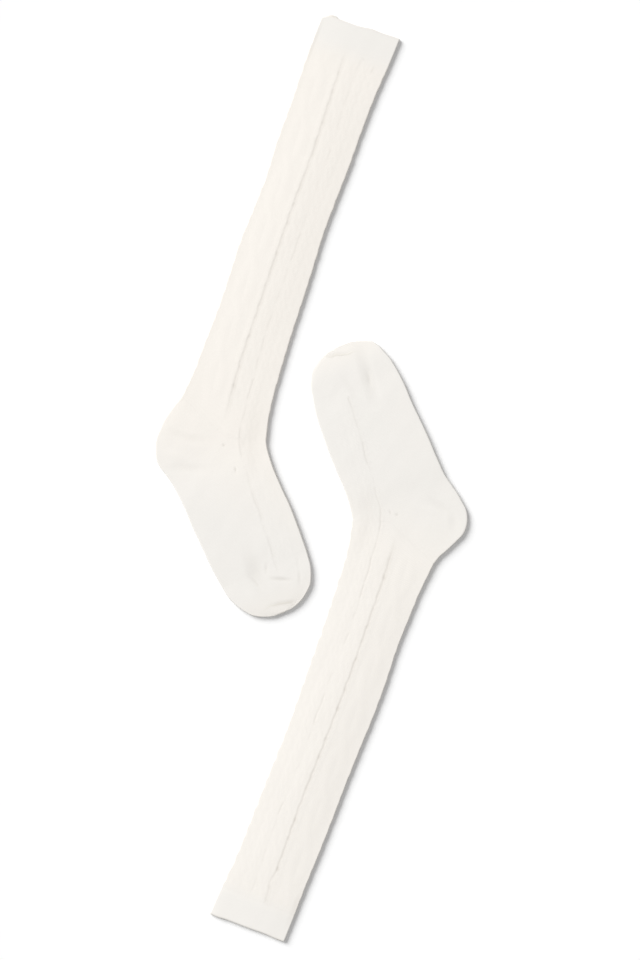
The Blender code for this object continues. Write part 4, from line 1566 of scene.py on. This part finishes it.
# matt white laminate
laminate = bpy.data.materials.new("matt white laminate")
laminate.use_nodes = True
tree = laminate.node_tree
tree.nodes.clear()
lighting = add(tree, "ShaderNodeBsdfDiffuse", {"Color": colour("#EDEDED")}).outputs[0]
white = add(tree, "ShaderNodeBsdfDiffuse", {"Color": colour("#FFFFFF")}).outputs[0]
glow = add(tree, "ShaderNodeEmission", {"Strength": TABLE_GLOW}).outputs[0]
shown = add(tree, "ShaderNodeAddShader", {0: white, 1: glow}).outputs[0]
chosen = add(tree, "ShaderNodeMixShader", {0: seen_directly(tree), 1: lighting, 2: shown}).outputs[0]
add(tree, "ShaderNodeOutputMaterial", {"Surface": chosen})
table_mesh.materials.append(laminate)
table_top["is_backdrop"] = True
print("table top:", 2 * TABLE_HALF, "m square")

# %% [markdown]
# ## Knit both socks
# Each sock is made stage by stage from the top down. The seam goes with the toe it closes, being
# far too narrow to have a cut of its own.

# %% Make all the pieces
STAGES = {"welt": make_welt, "leg": make_leg, "heel": make_heel, "foot": make_foot, "toe": make_toe}

for sock in SOCKS:
    made = {stage: make(sock) for stage, make in STAGES.items()}
    seam = make_seam(sock)
    claim(seam, sock.name + "_toe_seam", SEAM_YARN)
    for stage, piece in made.items():
        declare(sock, stage, piece)
    print(sock.name, "is knitted:", len(made) + 1, "pieces")

# %% [markdown]
# ## Light
# A soft sun stands low on one side and an even sky fills the rest, in about equal parts. Low light
# draws a soft dark band along each edge turned away from it and shows the relief of the cables.
# Together they give a level matt face exactly the brightness of its colour, so the tones written
# above come out as written.

# %% Sun and sky
SUN_SHARE = 0.6
SUN_OFF_VERTICAL = 56.0
SUN_TOWARD = -42.0
SUN_WIDTH = 34.0

slant = math.radians(SUN_OFF_VERTICAL)
lamp = bpy.data.lights.new("low soft sun", "SUN")
lamp.energy = SUN_SHARE * math.pi / math.cos(slant)
lamp.angle = math.radians(SUN_WIDTH)
sun = bpy.data.objects.new("low soft sun", lamp)
sun.rotation_euler = (0.0, slant, math.radians(SUN_TOWARD + 180))
bpy.context.scene.collection.objects.link(sun)

sky = bpy.data.worlds.new("even sky")
sky.use_nodes = True
tree = sky.node_tree
tree.nodes.clear()
fill = add(tree, "ShaderNodeBackground", {"Color": colour("#FFFFFF"), "Strength": 1 - SUN_SHARE})
blank = add(tree, "ShaderNodeBackground", {"Color": colour("#FFFFFF"), "Strength": 1.0})
inputs = {0: seen_directly(tree), 1: fill.outputs[0], 2: blank.outputs[0]}
mixed = add(tree, "ShaderNodeMixShader", inputs).outputs[0]
add(tree, "ShaderNodeOutputWorld", {"Surface": mixed})
bpy.context.scene.world = sky
bpy.context.scene.view_settings.view_transform = "Standard"
print("sun's strength:", round(lamp.energy, 2))

# %% [markdown]
# ## Camera
# A flat lay is taken from straight above, from far off with a long lens, so that nothing leans.

# %% Set up the camera
VIEW_MIDDLE = (10.55, -3.92)
VIEW_HEIGHT = 2938.0

eye = bpy.data.cameras.new("overhead camera")
eye.lens = 100.0
eye.sensor_width = 36.0
camera = bpy.data.objects.new("overhead camera", eye)
camera.location = (VIEW_MIDDLE[0] * MM, VIEW_MIDDLE[1] * MM, VIEW_HEIGHT * MM)
bpy.context.scene.collection.objects.link(camera)
bpy.context.scene.camera = camera
print("camera's height:", VIEW_HEIGHT * MM, "m")

# %% [markdown]
# ## Check the size
# How far each corner of the visual model's box lies from the frame's, in millimetres.

# %% Compare the boxes
final_box = [list(corner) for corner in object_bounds()]
grown = [
    [round((final_box[i][k] - solid_box[i][k]) / MM, 2) for k in range(3)] for i in range(2)
]
print("moved corners, in mm:", grown)
